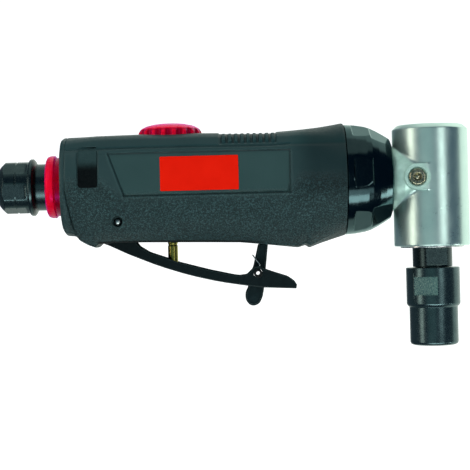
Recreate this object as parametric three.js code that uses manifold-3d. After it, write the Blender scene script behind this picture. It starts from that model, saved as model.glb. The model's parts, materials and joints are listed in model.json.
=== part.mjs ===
// Mini right-angle air die grinder, as an assembly of separate solids. Millimetres, +Z up.
// The origin lies on the motor axis at the middle of the grip. +X runs from the air inlet to the
// angle head, and the output spindle points down (-Z). The side with the label faces -Y.

import * as THREE from 'three';
import { mergeVertices } from 'three/addons/utils/BufferGeometryUtils.js';
import Module from 'manifold-3d';

// ---------------------------------------------------------------- driving dimensions
const GAP = 0.3; // between pieces that touch

// grip housing: stations along X, with top height, bottom height, half width and roundness
const HOUSING_STATIONS = [
  // x, top, bottom, half width, share of a true circle
  [-50.0, 16.7, -15.8, 17.0, 0.5],
  [-49.3, 17.45, -17.7, 17.6, 0.45],
  [-46.1, 17.53, -18.0, 17.8, 0.4],
  [-44.4, 17.53, -19.8, 17.9, 0.3],
  [-41.5, 17.54, -21.35, 18.0, 0.2],
  [-38.7, 17.55, -22.3, 18.2, 0.1],
  [-37.5, 17.56, -20.9, 18.3, 0.05],
  [-30.0, 17.6, -20.5, 18.5, 0],
  [-20.0, 17.75, -20.7, 18.5, 0],
  [-2.0, 17.7, -21.1, 18.5, 0],
  [12.5, 17.4, -21.5, 18.5, 0],
  [23.3, 17.35, -22.7, 18.7, 0.05],
  [33.3, 18.2, -23.9, 19.1, 0.25],
  [35.9, 18.45, -23.1, 19.2, 0.35],
  [37.3, 18.6, -24.05, 19.3, 0.4],
  [41.3, 19.0, -22.6, 19.5, 0.6],
  [46.7, 19.8, -20.9, 19.9, 0.9],
  [49.7, 20.3, -20.0, 20.1, 1],
  [50.15, 20.0, -19.7, 19.8, 1],
];
// one half of the grip section, as shares of the half width and of the top or bottom height;
// the fourth and fifth points bound the ledge that runs along the side
const SECTION = [
  [0, 1], [0.36, 0.985], [0.62, 0.93], [0.82, 0.83], [0.92, 0.725], [0.955, 0.69], [0.985, 0.5],
  [1, 0.2], [1, -0.15], [0.985, -0.4], [0.93, -0.62], [0.8, -0.81], [0.6, -0.93], [0.33, -0.985], [0, -1],
];
// seam between the rear cover and the grip, in X and Z, from the top down
const SEAM = [[-48.3, -1.8], [-47.8, -4.8], [-47.2, -8.2], [-46.5, -12.2], [-45.9, -15.2], [-45.4, -17.3], [-44.7, -19.6]];
const PANEL = [[-33.0, 11.2], [-27.5, -4.6], [30.3, -4.3], [30.7, 11.2]]; // smooth side panel
const PANEL_TILT = 2.6; // degrees, the side leans in towards the top
const PANEL_Y = 18.0; // half width at the panel's surface, at Z 0
const LABEL = { x0: -14.8, x1: 12.5, z0: -3.0, z1: 9.0, t: 0.3 };
const PLATE = { x0: -43.5, x1: -36.6, z0: -1.2, z1: 12.1, r: 1.0, t: 0.3, y: 17.35, tilt: 5.2, yaw: 5.7 };

// motor
const MOTOR_BORE_R = 15.4;
const MOTOR_BORE_X0 = 0.6;
const LINER_R = 15.1;
const LINER_BORE_R = 12.4;
const LINER_OFFSET = 1.3; // the chamber's axis lies this far below the rotor's
const LINER_X = [9.6, 41.6];
const ROTOR_R = 10.9;
const BLADE_COUNT = 4;
const BLADE_T = 1.5;
const DOWEL = { z: 13.1, r: 0.85 };

// air inlet
const INLET_AF = 17.46; // hexagon, with its corners turned down
const INLET_FLAT_TILT = 10.9; // degrees, the nearest flat below the horizontal
const INLET_BORE_R = 5.7; // thread bore
const INLET_RING_R = 11.2;

// throttle valve and regulator, on a vertical axis
const VALVE_X = -11.7;
const KNOB_R = 11.2;
const KNOB_SCALLOPS = 18;
const STEM_R = 1.8;

// throttle lever and its lock
const LEVER_PIVOT = [-30.08, -13.24];
const LEVER_W = 9.6;
const LEVER_WALL = 1.3;
const LOCK_PIVOT = [18.69, -32.75];
const LOCK_PIN_R = 1.5;

// nose cap and angle head
const HEAD_X = 81.6; // output axis
const HEAD_R = 13.5;
const HEAD_TOP = 19.5;
const HEAD_BOTTOM = -24.5;
const NECK_R = 11.3;
const CAP_FLAT_TILT = 6.5; // degrees, the nearest flat above the horizontal

// bevel gears, with their common apex at the crossing of the two axes
const PINION_TEETH = 12;
const GEAR_TEETH = 15;
const GEAR_PITCH_R = 8.5;
const GEAR_FACE = 3.8;

// output
const NUT_R = 9.6;
const NUT_AF = 17.0;
const NUT_FLAT_TURN = -25; // degrees, from the side with the label towards the inlet
const NECK_FLAT_AF = 12.0;
const NECK_FLAT_TURN = 7.3;
const COLLET_BORE_R = 3.05; // takes a 6 mm shank

// ---------------------------------------------------------------- solids
const wasm = await Module();
wasm.setup();
const DEG = Math.PI / 180;

// a closed three.js geometry as a solid that can be joined and cut
function solid(geometry) {
  let g = geometry.index ? geometry.toNonIndexed() : geometry.clone();
  for (const name of Object.keys(g.attributes)) if (name !== 'position') g.deleteAttribute(name);
  g = mergeVertices(g, 1e-4);
  const p = g.attributes.position.array;
  const tri = [];
  let volume = 0;
  for (let i = 0; i < g.index.count; i += 3) {
    const [a, b, c] = [g.index.array[i], g.index.array[i + 1], g.index.array[i + 2]];
    if (a === b || b === c || c === a) continue;
    tri.push(a, b, c);
    const [A, B, C] = [a, b, c].map((k) => new THREE.Vector3(p[3 * k], p[3 * k + 1], p[3 * k + 2]));
    volume += A.dot(B.cross(C));
  }
  if (volume < 0) for (let i = 0; i < tri.length; i += 3) [tri[i], tri[i + 1]] = [tri[i + 1], tri[i]];
  return new wasm.Manifold(
    new wasm.Mesh({ numProp: 3, vertProperties: new Float32Array(p), triVerts: new Uint32Array(tri) }),
  );
}

function geometryOf(body) {
  const m = body.getMesh();
  const g = new THREE.BufferGeometry();
  g.setAttribute('position', new THREE.BufferAttribute(new Float32Array(m.vertProperties), 3));
  g.setIndex(new THREE.BufferAttribute(new Uint32Array(m.triVerts), 1));
  g.computeVertexNormals();
  return g;
}

// revolved profile of [along, radius] pairs, closed on itself or on the axis
function turned(axis, profile, segments = 32, turn = 0) {
  const closed = [...profile];
  if (profile[0][1] > 1e-6 || profile.at(-1)[1] > 1e-6) closed.push(profile[0]);
  const g = new THREE.LatheGeometry(closed.map(([h, r]) => new THREE.Vector2(r, h)), segments, turn * DEG);
  if (axis === 'x') g.rotateZ(-Math.PI / 2);
  if (axis === 'z') g.rotateX(Math.PI / 2);
  return solid(g);
}
const ringX = (x0, x1, r0, r1, n) => turned('x', [[x0, r0], [x1, r0], [x1, r1], [x0, r1]], n);
const ringZ = (z0, z1, r0, r1, n) => turned('z', [[z0, r0], [z1, r0], [z1, r1], [z0, r1]], n);
const rodX = (x0, x1, r, n) => turned('x', [[x0, 0], [x0, r], [x1, r], [x1, 0]], n);
const rodY = (y0, y1, r, n) => turned('y', [[y0, 0], [y0, r], [y1, r], [y1, 0]], n);
const rodZ = (z0, z1, r, n) => turned('z', [[z0, 0], [z0, r], [z1, r], [z1, 0]], n);

function block(x0, x1, y0, y1, z0, z1) {
  const g = new THREE.BoxGeometry(x1 - x0, y1 - y0, z1 - z0);
  g.translate((x0 + x1) / 2, (y0 + y1) / 2, (z0 + z1) / 2);
  return solid(g);
}

// outline in X and Z, given its thickness along Y
function plateXZ(points, y0, y1, holes = []) {
  const shape = new THREE.Shape(points.map(([x, z]) => new THREE.Vector2(x, z)));
  for (const [cx, cz, r, n] of holes) {
    const hole = new THREE.Path();
    for (let i = 0; i <= n; i++) {
      const a = (-2 * Math.PI * i) / n;
      hole[i ? 'lineTo' : 'moveTo'](cx + r * Math.cos(a), cz + r * Math.sin(a));
    }
    shape.holes.push(hole);
  }
  const g = new THREE.ExtrudeGeometry(shape, { depth: y1 - y0, bevelEnabled: false });
  g.rotateX(Math.PI / 2);
  g.translate(0, y1, 0);
  return solid(g);
}

// a skin through rings of equal point count, with flat ends
function loft(rings) {
  const n = rings[0].length;
  const p = [];
  const tri = [];
  for (const ring of rings) for (const v of ring) p.push(...v);
  for (let k = 0; k + 1 < rings.length; k++)
    for (let i = 0; i < n; i++) {
      const [a, b] = [k * n + i, k * n + ((i + 1) % n)];
      tri.push(a, b, a + n, b, b + n, a + n);
    }
  // the ends wind against the sides' edges
  const end = (ring, base, same) => {
    const flat = ring.map(([, y, z]) => new THREE.Vector2(y, z));
    const way = THREE.ShapeUtils.area(flat) > 0;
    for (const t of THREE.ShapeUtils.triangulateShape(flat, [])) {
      const along = THREE.ShapeUtils.area(t.map((k) => flat[k])) > 0 === way;
      const [a, b, c] = along === same ? t : [t[1], t[0], t[2]];
      tri.push(base + a, base + b, base + c);
    }
  };
  end(rings[0], 0, false);
  end(rings.at(-1), (rings.length - 1) * n, true);
  const g = new THREE.BufferGeometry();
  g.setAttribute('position', new THREE.BufferAttribute(new Float32Array(p), 3));
  g.setIndex(tri);
  return solid(g);
}

const cut = (body, ...tools) => tools.reduce((b, t) => b.subtract(t), body);
const join = (body, ...others) => others.reduce((b, t) => b.add(t), body);

// a wire along points, closed at both ends
function wire(points, radius, steps, sides = 6) {
  const section = new THREE.Shape(
    Array.from({ length: sides }, (_, i) => new THREE.Vector2(
      radius * Math.cos((2 * Math.PI * i) / sides), radius * Math.sin((2 * Math.PI * i) / sides))),
  );
  const path = new THREE.CatmullRomCurve3(points.map((v) => new THREE.Vector3(...v)), false, 'centripetal');
  return solid(new THREE.ExtrudeGeometry(section, { steps, extrudePath: path, bevelEnabled: false }));
}

// ---------------------------------------------------------------- materials
const paint = (color, roughness, metalness) => new THREE.MeshStandardMaterial({ color, roughness, metalness });
const COMPOSITE = paint(0x33474a, 0.65, 0);
const RED = paint(0xc8141c, 0.35, 0);
const LABEL_RED = paint(0xe0190d, 0.4, 0);
const BLACK_STEEL = paint(0x1b2426, 0.35, 0.9);
const BLACK_GLOSS = paint(0x14191b, 0.2, 0.6);
const LEVER_BLACK = paint(0x141b1d, 0.45, 0.5);
const ALUMINIUM = paint(0xb4bdb8, 0.3, 1);
const STEEL = paint(0x9aa0a2, 0.3, 1);
const BRASS = paint(0x8a7a35, 0.35, 1);
const RUBBER = paint(0x17191a, 0.8, 0);
const FELT = paint(0x8f8d84, 0.95, 0);
const BLADE = paint(0x6a4a2c, 0.6, 0);
const PLATE_BLACK = paint(0x08090a, 0.3, 0);

const object = new THREE.Group();
const at = (x = 0, y = 0, z = 0, parent = object) => {
  const g = new THREE.Group();
  g.position.set(x, y, z);
  parent.add(g);
  return g;
};
function piece(name, body, material, parent = object) {
  const mesh = new THREE.Mesh(geometryOf(body), material);
  mesh.name = name;
  parent.add(mesh);
  return mesh;
}

// ---------------------------------------------------------------- grip housing
function sectionRing([x, top, bottom, half, round]) {
  const side = SECTION.map(([u, v]) => {
    const y = u * half;
    const z = v > 0 ? v * top : -v * bottom;
    const a = Math.atan2(v > 0 ? v * top : -v * bottom, y);
    const centre = (top + bottom) / 2;
    const r = (top - bottom) / 2;
    const cy = half * Math.cos(a);
    const cz = centre * Math.abs(Math.sin(a)) + r * Math.sin(a);
    return [y + (cy - y) * round, z + (cz - z) * round];
  });
  const ring = side.map(([y, z]) => [x, y, z]);
  for (let i = side.length - 2; i > 0; i--) ring.push([x, -side[i][0], side[i][1]]);
  return ring;
}
const outer = loft(HOUSING_STATIONS.map(sectionRing));

// the room behind the seam, which belongs to the rear cover
const behindSeam = (shift) => plateXZ(
  [[SEAM[0][0] + shift, 24], ...SEAM.map(([x, z]) => [x + shift, z]), [SEAM.at(-1)[0] + shift, -26], [-54, -26], [-54, 24]], -22, 22);

// the side leans in towards the top, and so do the panel and the plates on it
const panelFace = (body) => body.translate([0, PANEL_Y, 0]).rotate([-PANEL_TILT, 0, 0]).translate([0, -PANEL_Y, 0]);
// the rear plate follows the side where it draws in towards the end, so it leans and turns a little more
const plateFace = (body) => {
  const [cx, cz] = [(PLATE.x0 + PLATE.x1) / 2, (PLATE.z0 + PLATE.z1) / 2];
  return body.translate([-cx, PLATE.y, -cz]).rotate([-PLATE.tilt, 0, -PLATE.yaw]).translate([cx, -PLATE.y, cz]);
};
const panelCut = panelFace(plateXZ(PANEL, -24, -PANEL_Y));
// a rectangle in X and Z with rounded corners, grown by a margin
function plateOutline({ x0, x1, z0, z1, r }, grow = 0) {
  const corner = (cx, cz, a0) => [0, 45, 90].map((a) =>
    [cx + (r + grow) * Math.cos((a0 + a) * DEG), cz + (r + grow) * Math.sin((a0 + a) * DEG)]);
  return [...corner(x1 - r, z0 + r, -90), ...corner(x1 - r, z1 - r, 0), ...corner(x0 + r, z1 - r, 90), ...corner(x0 + r, z0 + r, 180)];
}
const plateCut = plateFace(plateXZ(plateOutline(PLATE, 0.1), -24, -PLATE.y));
const labelRest = -PANEL_Y - 0.05;

let housing = cut(
  outer,
  behindSeam(GAP),
  // motor bore and the nose cap's thread
  rodX(MOTOR_BORE_X0, 52, MOTOR_BORE_R + 0.15, 24),
  rodX(43.6, 52, 17.45, 24),
  // rear chamber, inlet thread and air passage to the valve
  rodX(-53, -43.7, 14.5, 22),
  rodX(-53, -36.7, 8.4, 18),
  rodX(-37.5, -12, 3.2, 10),
  // exhaust ducts from the motor to the rear chamber
  rodX(-45, 2, 2.2, 8).translate([0, 12, 0]),
  rodX(-45, 2, 2.2, 8).translate([0, -12, 0]),
  // valve chamber, port to the motor, stem hole and the seat of the regulator knob
  rodZ(-3.2, 19, 6.6, 18).translate([VALVE_X, 0, 0]),
  rodZ(-17.3, 0, 5.85, 16).translate([VALVE_X, 0, 0]),
  rodZ(-24, -10, 2.15, 12).translate([VALVE_X, 0, 0]),
  rodZ(15.2, 26, KNOB_R + 0.45, 30).translate([VALVE_X, 0, 0]),
  rodX(-8, 3, 2.4, 8).translate([0, 0, -8]),
  // slot for the lever's ears, and the hole of its pin, wider at the mouth
  block(-37.4, -20.5, -LEVER_W / 2 - 0.5, LEVER_W / 2 + 0.5, -26, -9.6),
  rodY(-22, 22, 1.45, 10).translate([LEVER_PIVOT[0], 0, LEVER_PIVOT[1]]),
  rodY(-24, -14.9, 1.95, 12).translate([LEVER_PIVOT[0], 0, LEVER_PIVOT[1]]),
  rodY(14.9, 24, 1.95, 12).translate([LEVER_PIVOT[0], 0, LEVER_PIVOT[1]]),
  // pocket that the lock's arm swings into
  block(9.6, 25.2, -3.6, 4.2, -26, -17.85),
  panelCut,
  plateCut,
);
piece('housing', housing, COMPOSITE);

piece('rear_cover', cut(
  join(cut(outer.intersect(behindSeam(0)), rodX(-48.5, -40, 14.5, 22)), rodX(-50.0, -47.4, 14.2, 22)),
  rodX(-54, -40, 8.75, 20),
  ...Array.from({ length: 6 }, (_, i) => rodX(-54, -40, 1.35, 6).translate([0, 11.3, 0]).rotate([30 + i * 60, 0, 0])),
), COMPOSITE);

piece('side_label', panelFace(block(LABEL.x0, LABEL.x1, labelRest - LABEL.t, labelRest, LABEL.z0, LABEL.z1)), LABEL_RED);

// the bare plate near the rear end lies in a shallow pocket
piece('rear_plate', plateFace(plateXZ(plateOutline(PLATE), -PLATE.y - 0.05 - PLATE.t, -PLATE.y - 0.05)), PLATE_BLACK);

// ---------------------------------------------------------------- air inlet end
{
  const profile = [
    [-73.4, INLET_BORE_R], [-73.4, 6.7], [-72.1, 8.1], [-70.3, 9.2], [-62.4, 9.2], [-61.9, 10.15], [-60.7, 10.15],
    [-59.6, 8.35], [-44.0, 8.35], [-44.0, 8.0], [-37.2, 8.0], [-37.2, 4.6], [-59.0, 4.6], [-59.0, INLET_BORE_R],
  ];
  const flats = Array.from({ length: 6 }, (_, i) =>
    block(-71.6, -62.7, -12, -INLET_AF / 2, -8, 8).rotate([INLET_FLAT_TILT + i * 60, 0, 0]));
  piece('air_inlet', cut(turned('x', profile, 24), ...flats), BLACK_STEEL);
}
piece('inlet_o_ring', turned('x', [[-46.9, 8.6], [-46.4, 9.0], [-45.4, 9.0], [-44.9, 8.6]], 20), RUBBER);
{
  const holes = [];
  for (const [y, z] of [[0, 0], [-2.6, 0], [2.6, 0], [0, -2.6], [0, 2.6]]) holes.push(block(-61, -58, y - 0.75, y + 0.75, z - 0.75, z + 0.75));
  piece('inlet_screen', cut(rodX(-59.8, -59.15, INLET_BORE_R - 0.15, 16), ...holes), BRASS);
}
{
  const profile = [
    [-56.15, 8.65], [-56.15, 9.6], [-55.5, 10.7], [-54.2, INLET_RING_R], [-52.9, INLET_RING_R], [-52.5, 10.35], [-50.4, 10.35], [-50.4, 8.65],
  ];
  const slots = Array.from({ length: 6 }, (_, i) => block(-58, -50, -1.3, 1.3, 9.1, 9.9).rotate([30 + i * 60, 0, 0]));
  piece('exhaust_ring', cut(turned('x', profile, 26), ...slots), RED);
}
piece('exhaust_muffler', ringX(-47.1, -44.0, 9.35, 14.1, 20), FELT);

// ---------------------------------------------------------------- throttle valve and regulator
const valve = at(VALVE_X);
{
  let knob = turned('z', [
    [15.5, 3.4], [15.5, KNOB_R + 0.15], [18.5, KNOB_R + 0.15], [19.6, 10.6], [20.7, 8.7], [21.5, 5.0], [21.75, 0], [20.0, 0], [20.0, 3.4],
  ], 18, 10);
  const scallops = Array.from({ length: KNOB_SCALLOPS }, (_, i) =>
    rodZ(15, 20.2, 1.1, 6).translate([0, -(KNOB_R + 0.35), 0]).rotate([0, 0, (i * 360) / KNOB_SCALLOPS]));
  piece('regulator_knob', cut(knob, ...scallops), RED, valve);
  const sleeve = turned('z', [
    [1.0, 4.9], [1.0, 6.25], [12.0, 6.25], [12.5, 3.6], [15.2, 3.6], [15.2, 3.15], [19.8, 3.15], [19.8, 0], [10.5, 0], [10.5, 4.9],
  ], 18);
  piece('regulator_sleeve', cut(sleeve, block(-8, 0, -2, 2, 0, 6)), BRASS, valve);
  piece('regulator_o_ring', turned('z', [[12.8, 5.0], [13.5, 3.8], [14.3, 5.0], [13.5, 6.2]], 16), RUBBER, valve);
  piece('regulator_retaining_ring', ringZ(14.65, 15.05, 3.8, 6.35, 16), STEEL, valve);
  piece('valve_bushing', cut(
    turned('z', [[-17.0, STEM_R + 0.15], [-17.0, 5.5], [-4.0, 5.5], [-4.0, 3.2], [-5.4, 2.6], [-5.4, 4.2], [-11.0, 4.2], [-11.0, STEM_R + 0.15]], 16),
    rodX(0, 8, 2.1, 6).translate([0, 0, -8]),
  ), BRASS, valve);
  piece('stem_o_ring', turned('z', [[-10.7, 2.6], [-9.8, 1.95], [-8.9, 2.6], [-9.8, 3.4]], 14), RUBBER, valve);
  piece('throttle_stem', turned('z', [
    [-29.3, 0], [-28.9, 1.1], [-27.8, STEM_R], [-8.9, STEM_R], [-8.9, 1.2], [-3.0, 1.2], [-3.0, 0],
  ], 14), BRASS, valve);
  piece('valve_plunger', turned('z', [
    [-3.8, 1.35], [-3.8, 3.3], [-3.2, 3.9], [-1.4, 3.9], [-1.4, 2.0], [0.6, 2.0], [0.6, 0], [-2.7, 0], [-2.7, 1.35],
  ], 12), STEEL, valve);
  const coil = [];
  const turns = 4;
  for (let i = 0; i <= turns * 8; i++) {
    const a = (i / 8) * 2 * Math.PI;
    coil.push([3.2 * Math.cos(a), 3.2 * Math.sin(a), -0.8 + (10.8 * i) / (turns * 8)]);
  }
  piece('valve_spring', wire(coil, 0.4, turns * 8, 4), STEEL, valve);
}

// ---------------------------------------------------------------- throttle lever and lock
// outlines in the grinder's own X and Z, then moved to the pivots
const LEVER_LOWER = [
  [-36.47, -20.73], [-34.33, -21.5], [-27.21, -24.92], [-16.52, -29.34], [-5.8, -32.85], [4.93, -35.46], [13.9, -36.95], [20.0, -37.82], [32.22, -38.49],
];
const LEVER_UPPER = [
  [32.44, -37.06], [31.58, -35.6], [29.45, -34.1], [24.81, -32.54], [21.6, -31.38], [19.6, -30.2], [17.6, -30.2], [16.3, -31.5], [14.72, -33.01],
  [12.19, -33.3], [10.39, -33.08], [1.44, -31.05], [-5.71, -29.07], [-10.0, -27.88], [-13.92, -26.34], [-19.99, -24.21], [-23.53, -21.96], [-24.58, -20.49],
  [-25.4, -17.0], [-26.6, -12.6], [-28.2, -10.6], [-30.1, -10.0], [-32.0, -10.6], [-33.4, -12.6], [-35.2, -17.0],
];
const lever = at(LEVER_PIVOT[0], 0, LEVER_PIVOT[1]);
const fromLever = (p) => p.map(([x, z]) => [x - LEVER_PIVOT[0], z - LEVER_PIVOT[1]]);
{
  const outline = [...LEVER_LOWER, ...LEVER_UPPER];
  const inner = LEVER_LOWER.map(([x, z], i, all) => {
    const [ax, az] = all[Math.max(i - 1, 0)];
    const [bx, bz] = all[Math.min(i + 1, all.length - 1)];
    const l = Math.hypot(bx - ax, bz - az);
    return [x - ((bz - az) / l) * LEVER_WALL, z + ((bx - ax) / l) * LEVER_WALL];
  });
  inner[0] = [-40, -19.0];
  inner.push([36, inner.at(-1)[1]]);
  inner.splice(inner.length - 2, 1);
  const hollow = plateXZ(fromLever([...inner, [36, -5], [-40, -5]]), -LEVER_W / 2 + LEVER_WALL, LEVER_W / 2 - LEVER_WALL);
  const body = plateXZ(fromLever(outline), -LEVER_W / 2, LEVER_W / 2, [
    [0, 0, 1.4, 12], [LOCK_PIVOT[0] - LEVER_PIVOT[0], LOCK_PIVOT[1] - LEVER_PIVOT[1], LOCK_PIN_R + 0.12, 14],
  ]);
  const slot = block(13.4 - LEVER_PIVOT[0], 31 - LEVER_PIVOT[0], -3.4, 3.4, -40 - LEVER_PIVOT[1], -35 - LEVER_PIVOT[1]);
  piece('throttle_lever', cut(body, hollow, slot), LEVER_BLACK, lever);
  piece('lever_pin', rodY(-15.2, 15.2, 1.15, 14), STEEL, lever);
}
const lock = at(LOCK_PIVOT[0], 0, LOCK_PIVOT[1]);
{
  piece('lock_pin', turned('y', [[-4.9, 0.72], [-4.9, LOCK_PIN_R], [4.9, LOCK_PIN_R], [4.9, 0.72]], 14), STEEL, lock);
  const outline = [
    [19.31, -22.32], [18.29, -26.98], [17.49, -30.2], [16.4, -32.2], [15.9, -34.6], [15.5, -36.4], [15.14, -37.7], [14.19, -39.6], [14.14, -41.9],
    [15.53, -43.85], [16.96, -44.5], [18.78, -43.6], [19.92, -41.3], [20.72, -37.84], [21.1, -35.0], [21.5, -31.38], [22.55, -22.22],
  ].map(([x, z]) => [x - LOCK_PIVOT[0], z - LOCK_PIVOT[1]]);
  piece('lock_lever', plateXZ(outline, -1.4, 3.2, [[0, 0, LOCK_PIN_R + 0.12, 14]]), LEVER_BLACK, lock);
  const w = 0.26;
  const coilR = LOCK_PIN_R + 0.2 + w;
  const path = [[-0.2, -2.0, -4.1], [-1.6, -2.1, -2.2]];
  for (let i = 0; i <= 16; i++) {
    const a = Math.PI * 1.05 + (i / 8) * 2 * Math.PI;
    path.push([coilR * Math.cos(a) * 1, -3.1 + (i / 16) * 1.25, -coilR * Math.sin(a) * -1]);
  }
  path.splice(0, 2);
  path.push([-1.25, -1.75, 3.4], [-1.75, -1.75, 5.4], [-1.85, -1.1, 6.1], [-1.8, 0.4, 6.4]);
  piece('lock_spring', wire(path, w, 30, 4), STEEL, lock);
}

// ---------------------------------------------------------------- vane motor
function bearing(name, axis, a0, a1, rIn, rOut, parent, balls = 7) {
  const ring = axis === 'x' ? ringX : ringZ;
  const t = (rOut - rIn) * 0.27;
  const gap = rOut - rIn - 2 * t;
  const mid = (rIn + rOut) / 2;
  const centre = (a0 + a1) / 2;
  piece(`${name}_outer_race`, ring(a0, a1, rOut - t, rOut, 18), STEEL, parent);
  piece(`${name}_inner_race`, ring(a0, a1, rIn, rIn + t, 14), STEEL, parent);
  const r = Math.min(gap / 2 - 0.12, (a1 - a0) / 2 - 0.2);
  let set = ring(centre - r * 0.5, centre + r * 0.5, mid - 0.3, mid + 0.3, 2 * balls);
  for (let i = 0; i < balls; i++) {
    const a = (i / balls) * 2 * Math.PI;
    const ball = solid(new THREE.IcosahedronGeometry(r, 0));
    set = set.add(ball.translate(axis === 'x'
      ? [centre, mid * Math.cos(a), mid * Math.sin(a)] : [mid * Math.cos(a), mid * Math.sin(a), centre]));
  }
  piece(`${name}_balls`, set, STEEL, parent);
}

const motor = at();
const dowelHole = (x0, x1) => rodX(x0, x1, DOWEL.r + 0.15, 6).translate([0, 0, DOWEL.z]);
piece('rear_end_plate', cut(
  turned('x', [[1.0, 9.65], [1.0, LINER_R], [9.3, LINER_R], [9.3, 3.6], [7.9, 3.6], [7.9, 9.65]], 24), dowelHole(5, 12),
), STEEL, motor);
bearing('rear_bearing', 'x', 1.7, 7.6, 3.0, 9.5, motor);
piece('cylinder_liner', cut(
  rodX(LINER_X[0], LINER_X[1], LINER_R, 24),
  rodX(LINER_X[0] - 1, LINER_X[1] + 1, LINER_BORE_R, 28).translate([0, 0, -LINER_OFFSET]),
  dowelHole(9, 43),
  ...[15, 21, 27].map((x) => block(x, x + 3, -18, 0, -4.5, -1.5)),
), STEEL, motor);
piece('dowel_pin', rodX(6, 45.5, DOWEL.r, 6).translate([0, 0, DOWEL.z]), STEEL, motor);
piece('front_end_plate', cut(
  turned('x', [[41.9, 5.0], [41.9, LINER_R], [49.7, LINER_R], [49.7, 10.15], [43.3, 10.15], [43.3, 5.0]], 24), dowelHole(41, 46.2),
), STEEL, motor);
bearing('front_bearing', 'x', 43.6, 49.4, 4.5, 10.0, motor);

const bladeAt = (i) => 45 + (i * 360) / BLADE_COUNT;
piece('rotor', cut(
  turned('x', [
    [1.2, 0], [1.2, 2.85], [8.1, 2.85], [8.1, 3.4], [9.75, 3.4], [9.75, ROTOR_R], [41.45, ROTOR_R], [41.45, 4.8], [43.4, 4.8],
    [43.4, 4.35], [52.0, 4.35], [52.0, 3.0], [44.0, 3.0], [44.0, 0],
  ], 24),
  ...Array.from({ length: BLADE_COUNT }, (_, i) =>
    block(9, 42, -BLADE_T / 2 - 0.15, BLADE_T / 2 + 0.15, 5.0, 12).rotate([bladeAt(i), 0, 0])),
), STEEL, motor);
for (let i = 0; i < BLADE_COUNT; i++)
  piece(`rotor_blade_${i + 1}`, block(9.9, 41.3, -BLADE_T / 2, BLADE_T / 2, 5.2, 10.85).rotate([bladeAt(i), 0, 0]), BLADE, motor);

// ---------------------------------------------------------------- bevel gears
// Rings of points on spheres round the common apex; the gear's own axis points down from it.
function bevelGear(teeth, pitchAngle, coneDistance, face, module, bore, back, startAngle) {
  const tip = pitchAngle + Math.atan((0.8 * module) / coneDistance);
  const root = pitchAngle - Math.atan((1.15 * module) / coneDistance);
  const pitch = (2 * Math.PI) / teeth;
  const toothed = (R) => {
    const ring = [];
    for (let i = 0; i < teeth; i++)
      for (const [share, polar] of [[-0.34, root], [-0.1, tip], [0.1, tip], [0.34, root]]) {
        const a = startAngle + (i + share) * pitch;
        ring.push([R * Math.sin(polar) * Math.cos(a), R * Math.sin(polar) * Math.sin(a), -R * Math.cos(polar)]);
      }
    return ring;
  };
  const round = (r, z) => toothed(1).map(([x, y]) => {
    const a = Math.atan2(y, x);
    return [r * Math.cos(a), r * Math.sin(a), z];
  });
  const small = coneDistance - face;
  const rings = [
    round(bore, -small * Math.cos(root)), toothed(small), toothed(coneDistance),
    round(back.r, -back.z), round(bore, -back.z),
  ];
  const n = rings[0].length;
  const p = rings.flat(2);
  const tri = [];
  for (let k = 0; k < rings.length; k++)
    for (let i = 0; i < n; i++) {
      const next = (k + 1) % rings.length;
      const [a, b, c, d] = [k * n + i, k * n + ((i + 1) % n), next * n + i, next * n + ((i + 1) % n)];
      tri.push(a, b, c, b, d, c);
    }
  const g = new THREE.BufferGeometry();
  g.setAttribute('position', new THREE.BufferAttribute(new Float32Array(p), 3));
  g.setIndex(tri);
  return solid(g);
}
const pinionPitchR = (GEAR_PITCH_R * PINION_TEETH) / GEAR_TEETH;
const cone = Math.hypot(GEAR_PITCH_R, pinionPitchR);
const moduleOuter = (2 * GEAR_PITCH_R) / GEAR_TEETH;
const gearAngle = Math.atan2(GEAR_PITCH_R, pinionPitchR);

const head = at(HEAD_X);
piece('output_gear', bevelGear(GEAR_TEETH, gearAngle, cone, GEAR_FACE, moduleOuter, 4.05, { r: 6.6, z: 11.8 }, Math.PI), STEEL, head);

// the pinion's axis points back along -X, and the gap between two teeth faces down
{
  const teeth = bevelGear(PINION_TEETH, Math.PI / 2 - gearAngle, cone, GEAR_FACE, moduleOuter, 2.0, { r: 6.4, z: 10.6 }, Math.PI / PINION_TEETH);
  // -Z turns to -X, and the gear's +X turns to -Z
  const turnedTeeth = teeth.rotate([0, 90, 0]);
  const shaft = turned('x', [[-37.0, 0], [-37.0, 2.85], [-13.3, 2.85], [-13.3, 3.9], [-10.4, 3.9], [-10.4, 2.6], [-6.2, 2.6], [-6.2, 0]], 14);
  piece('pinion_shaft', join(turnedTeeth, shaft), STEEL, head);
}
bearing('pinion_bearing', 'x', -19.6, -13.6, 3.0, 8.5, head);

// ---------------------------------------------------------------- nose cap
{
  const flange = [
    [44.2, 15.35], [44.2, 17.05], [50.45, 17.05], [50.45, 19.75], [54.1, 19.45], [57.6, 18.9], [59.6, 18.3], [66.7, 14.3], [67.35, 12.1],
    [67.35, 11.7], [57.6, 11.7], [57.6, 15.35],
  ];
  const tools = [];
  for (let i = 0; i < 6; i++) {
    const turn = [i * 60 - CAP_FLAT_TILT, 0, 0];
    // the spanner flat runs forward from a short ramp, and a second facet lies along the steeper cone
    tools.push(plateXZ([[52.0, 20.4], [52.3, 19.55], [53.1, 18.9], [54.2, 18.58], [59.6, 18.1], [70, 17.2], [70, 26], [52.0, 26]], -14, 14).rotate([90, 0, 0]).rotate(turn));
    tools.push(plateXZ([[58.9, 18.5], [59.6, 17.4], [66.7, 13.95], [70, 12.3], [70, 26], [58.9, 26]], -14, 14).rotate([90, 0, 0]).rotate(turn));
  }
  piece('nose_cap', cut(turned('x', flange, 30), ...tools), BLACK_GLOSS);
}

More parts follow.
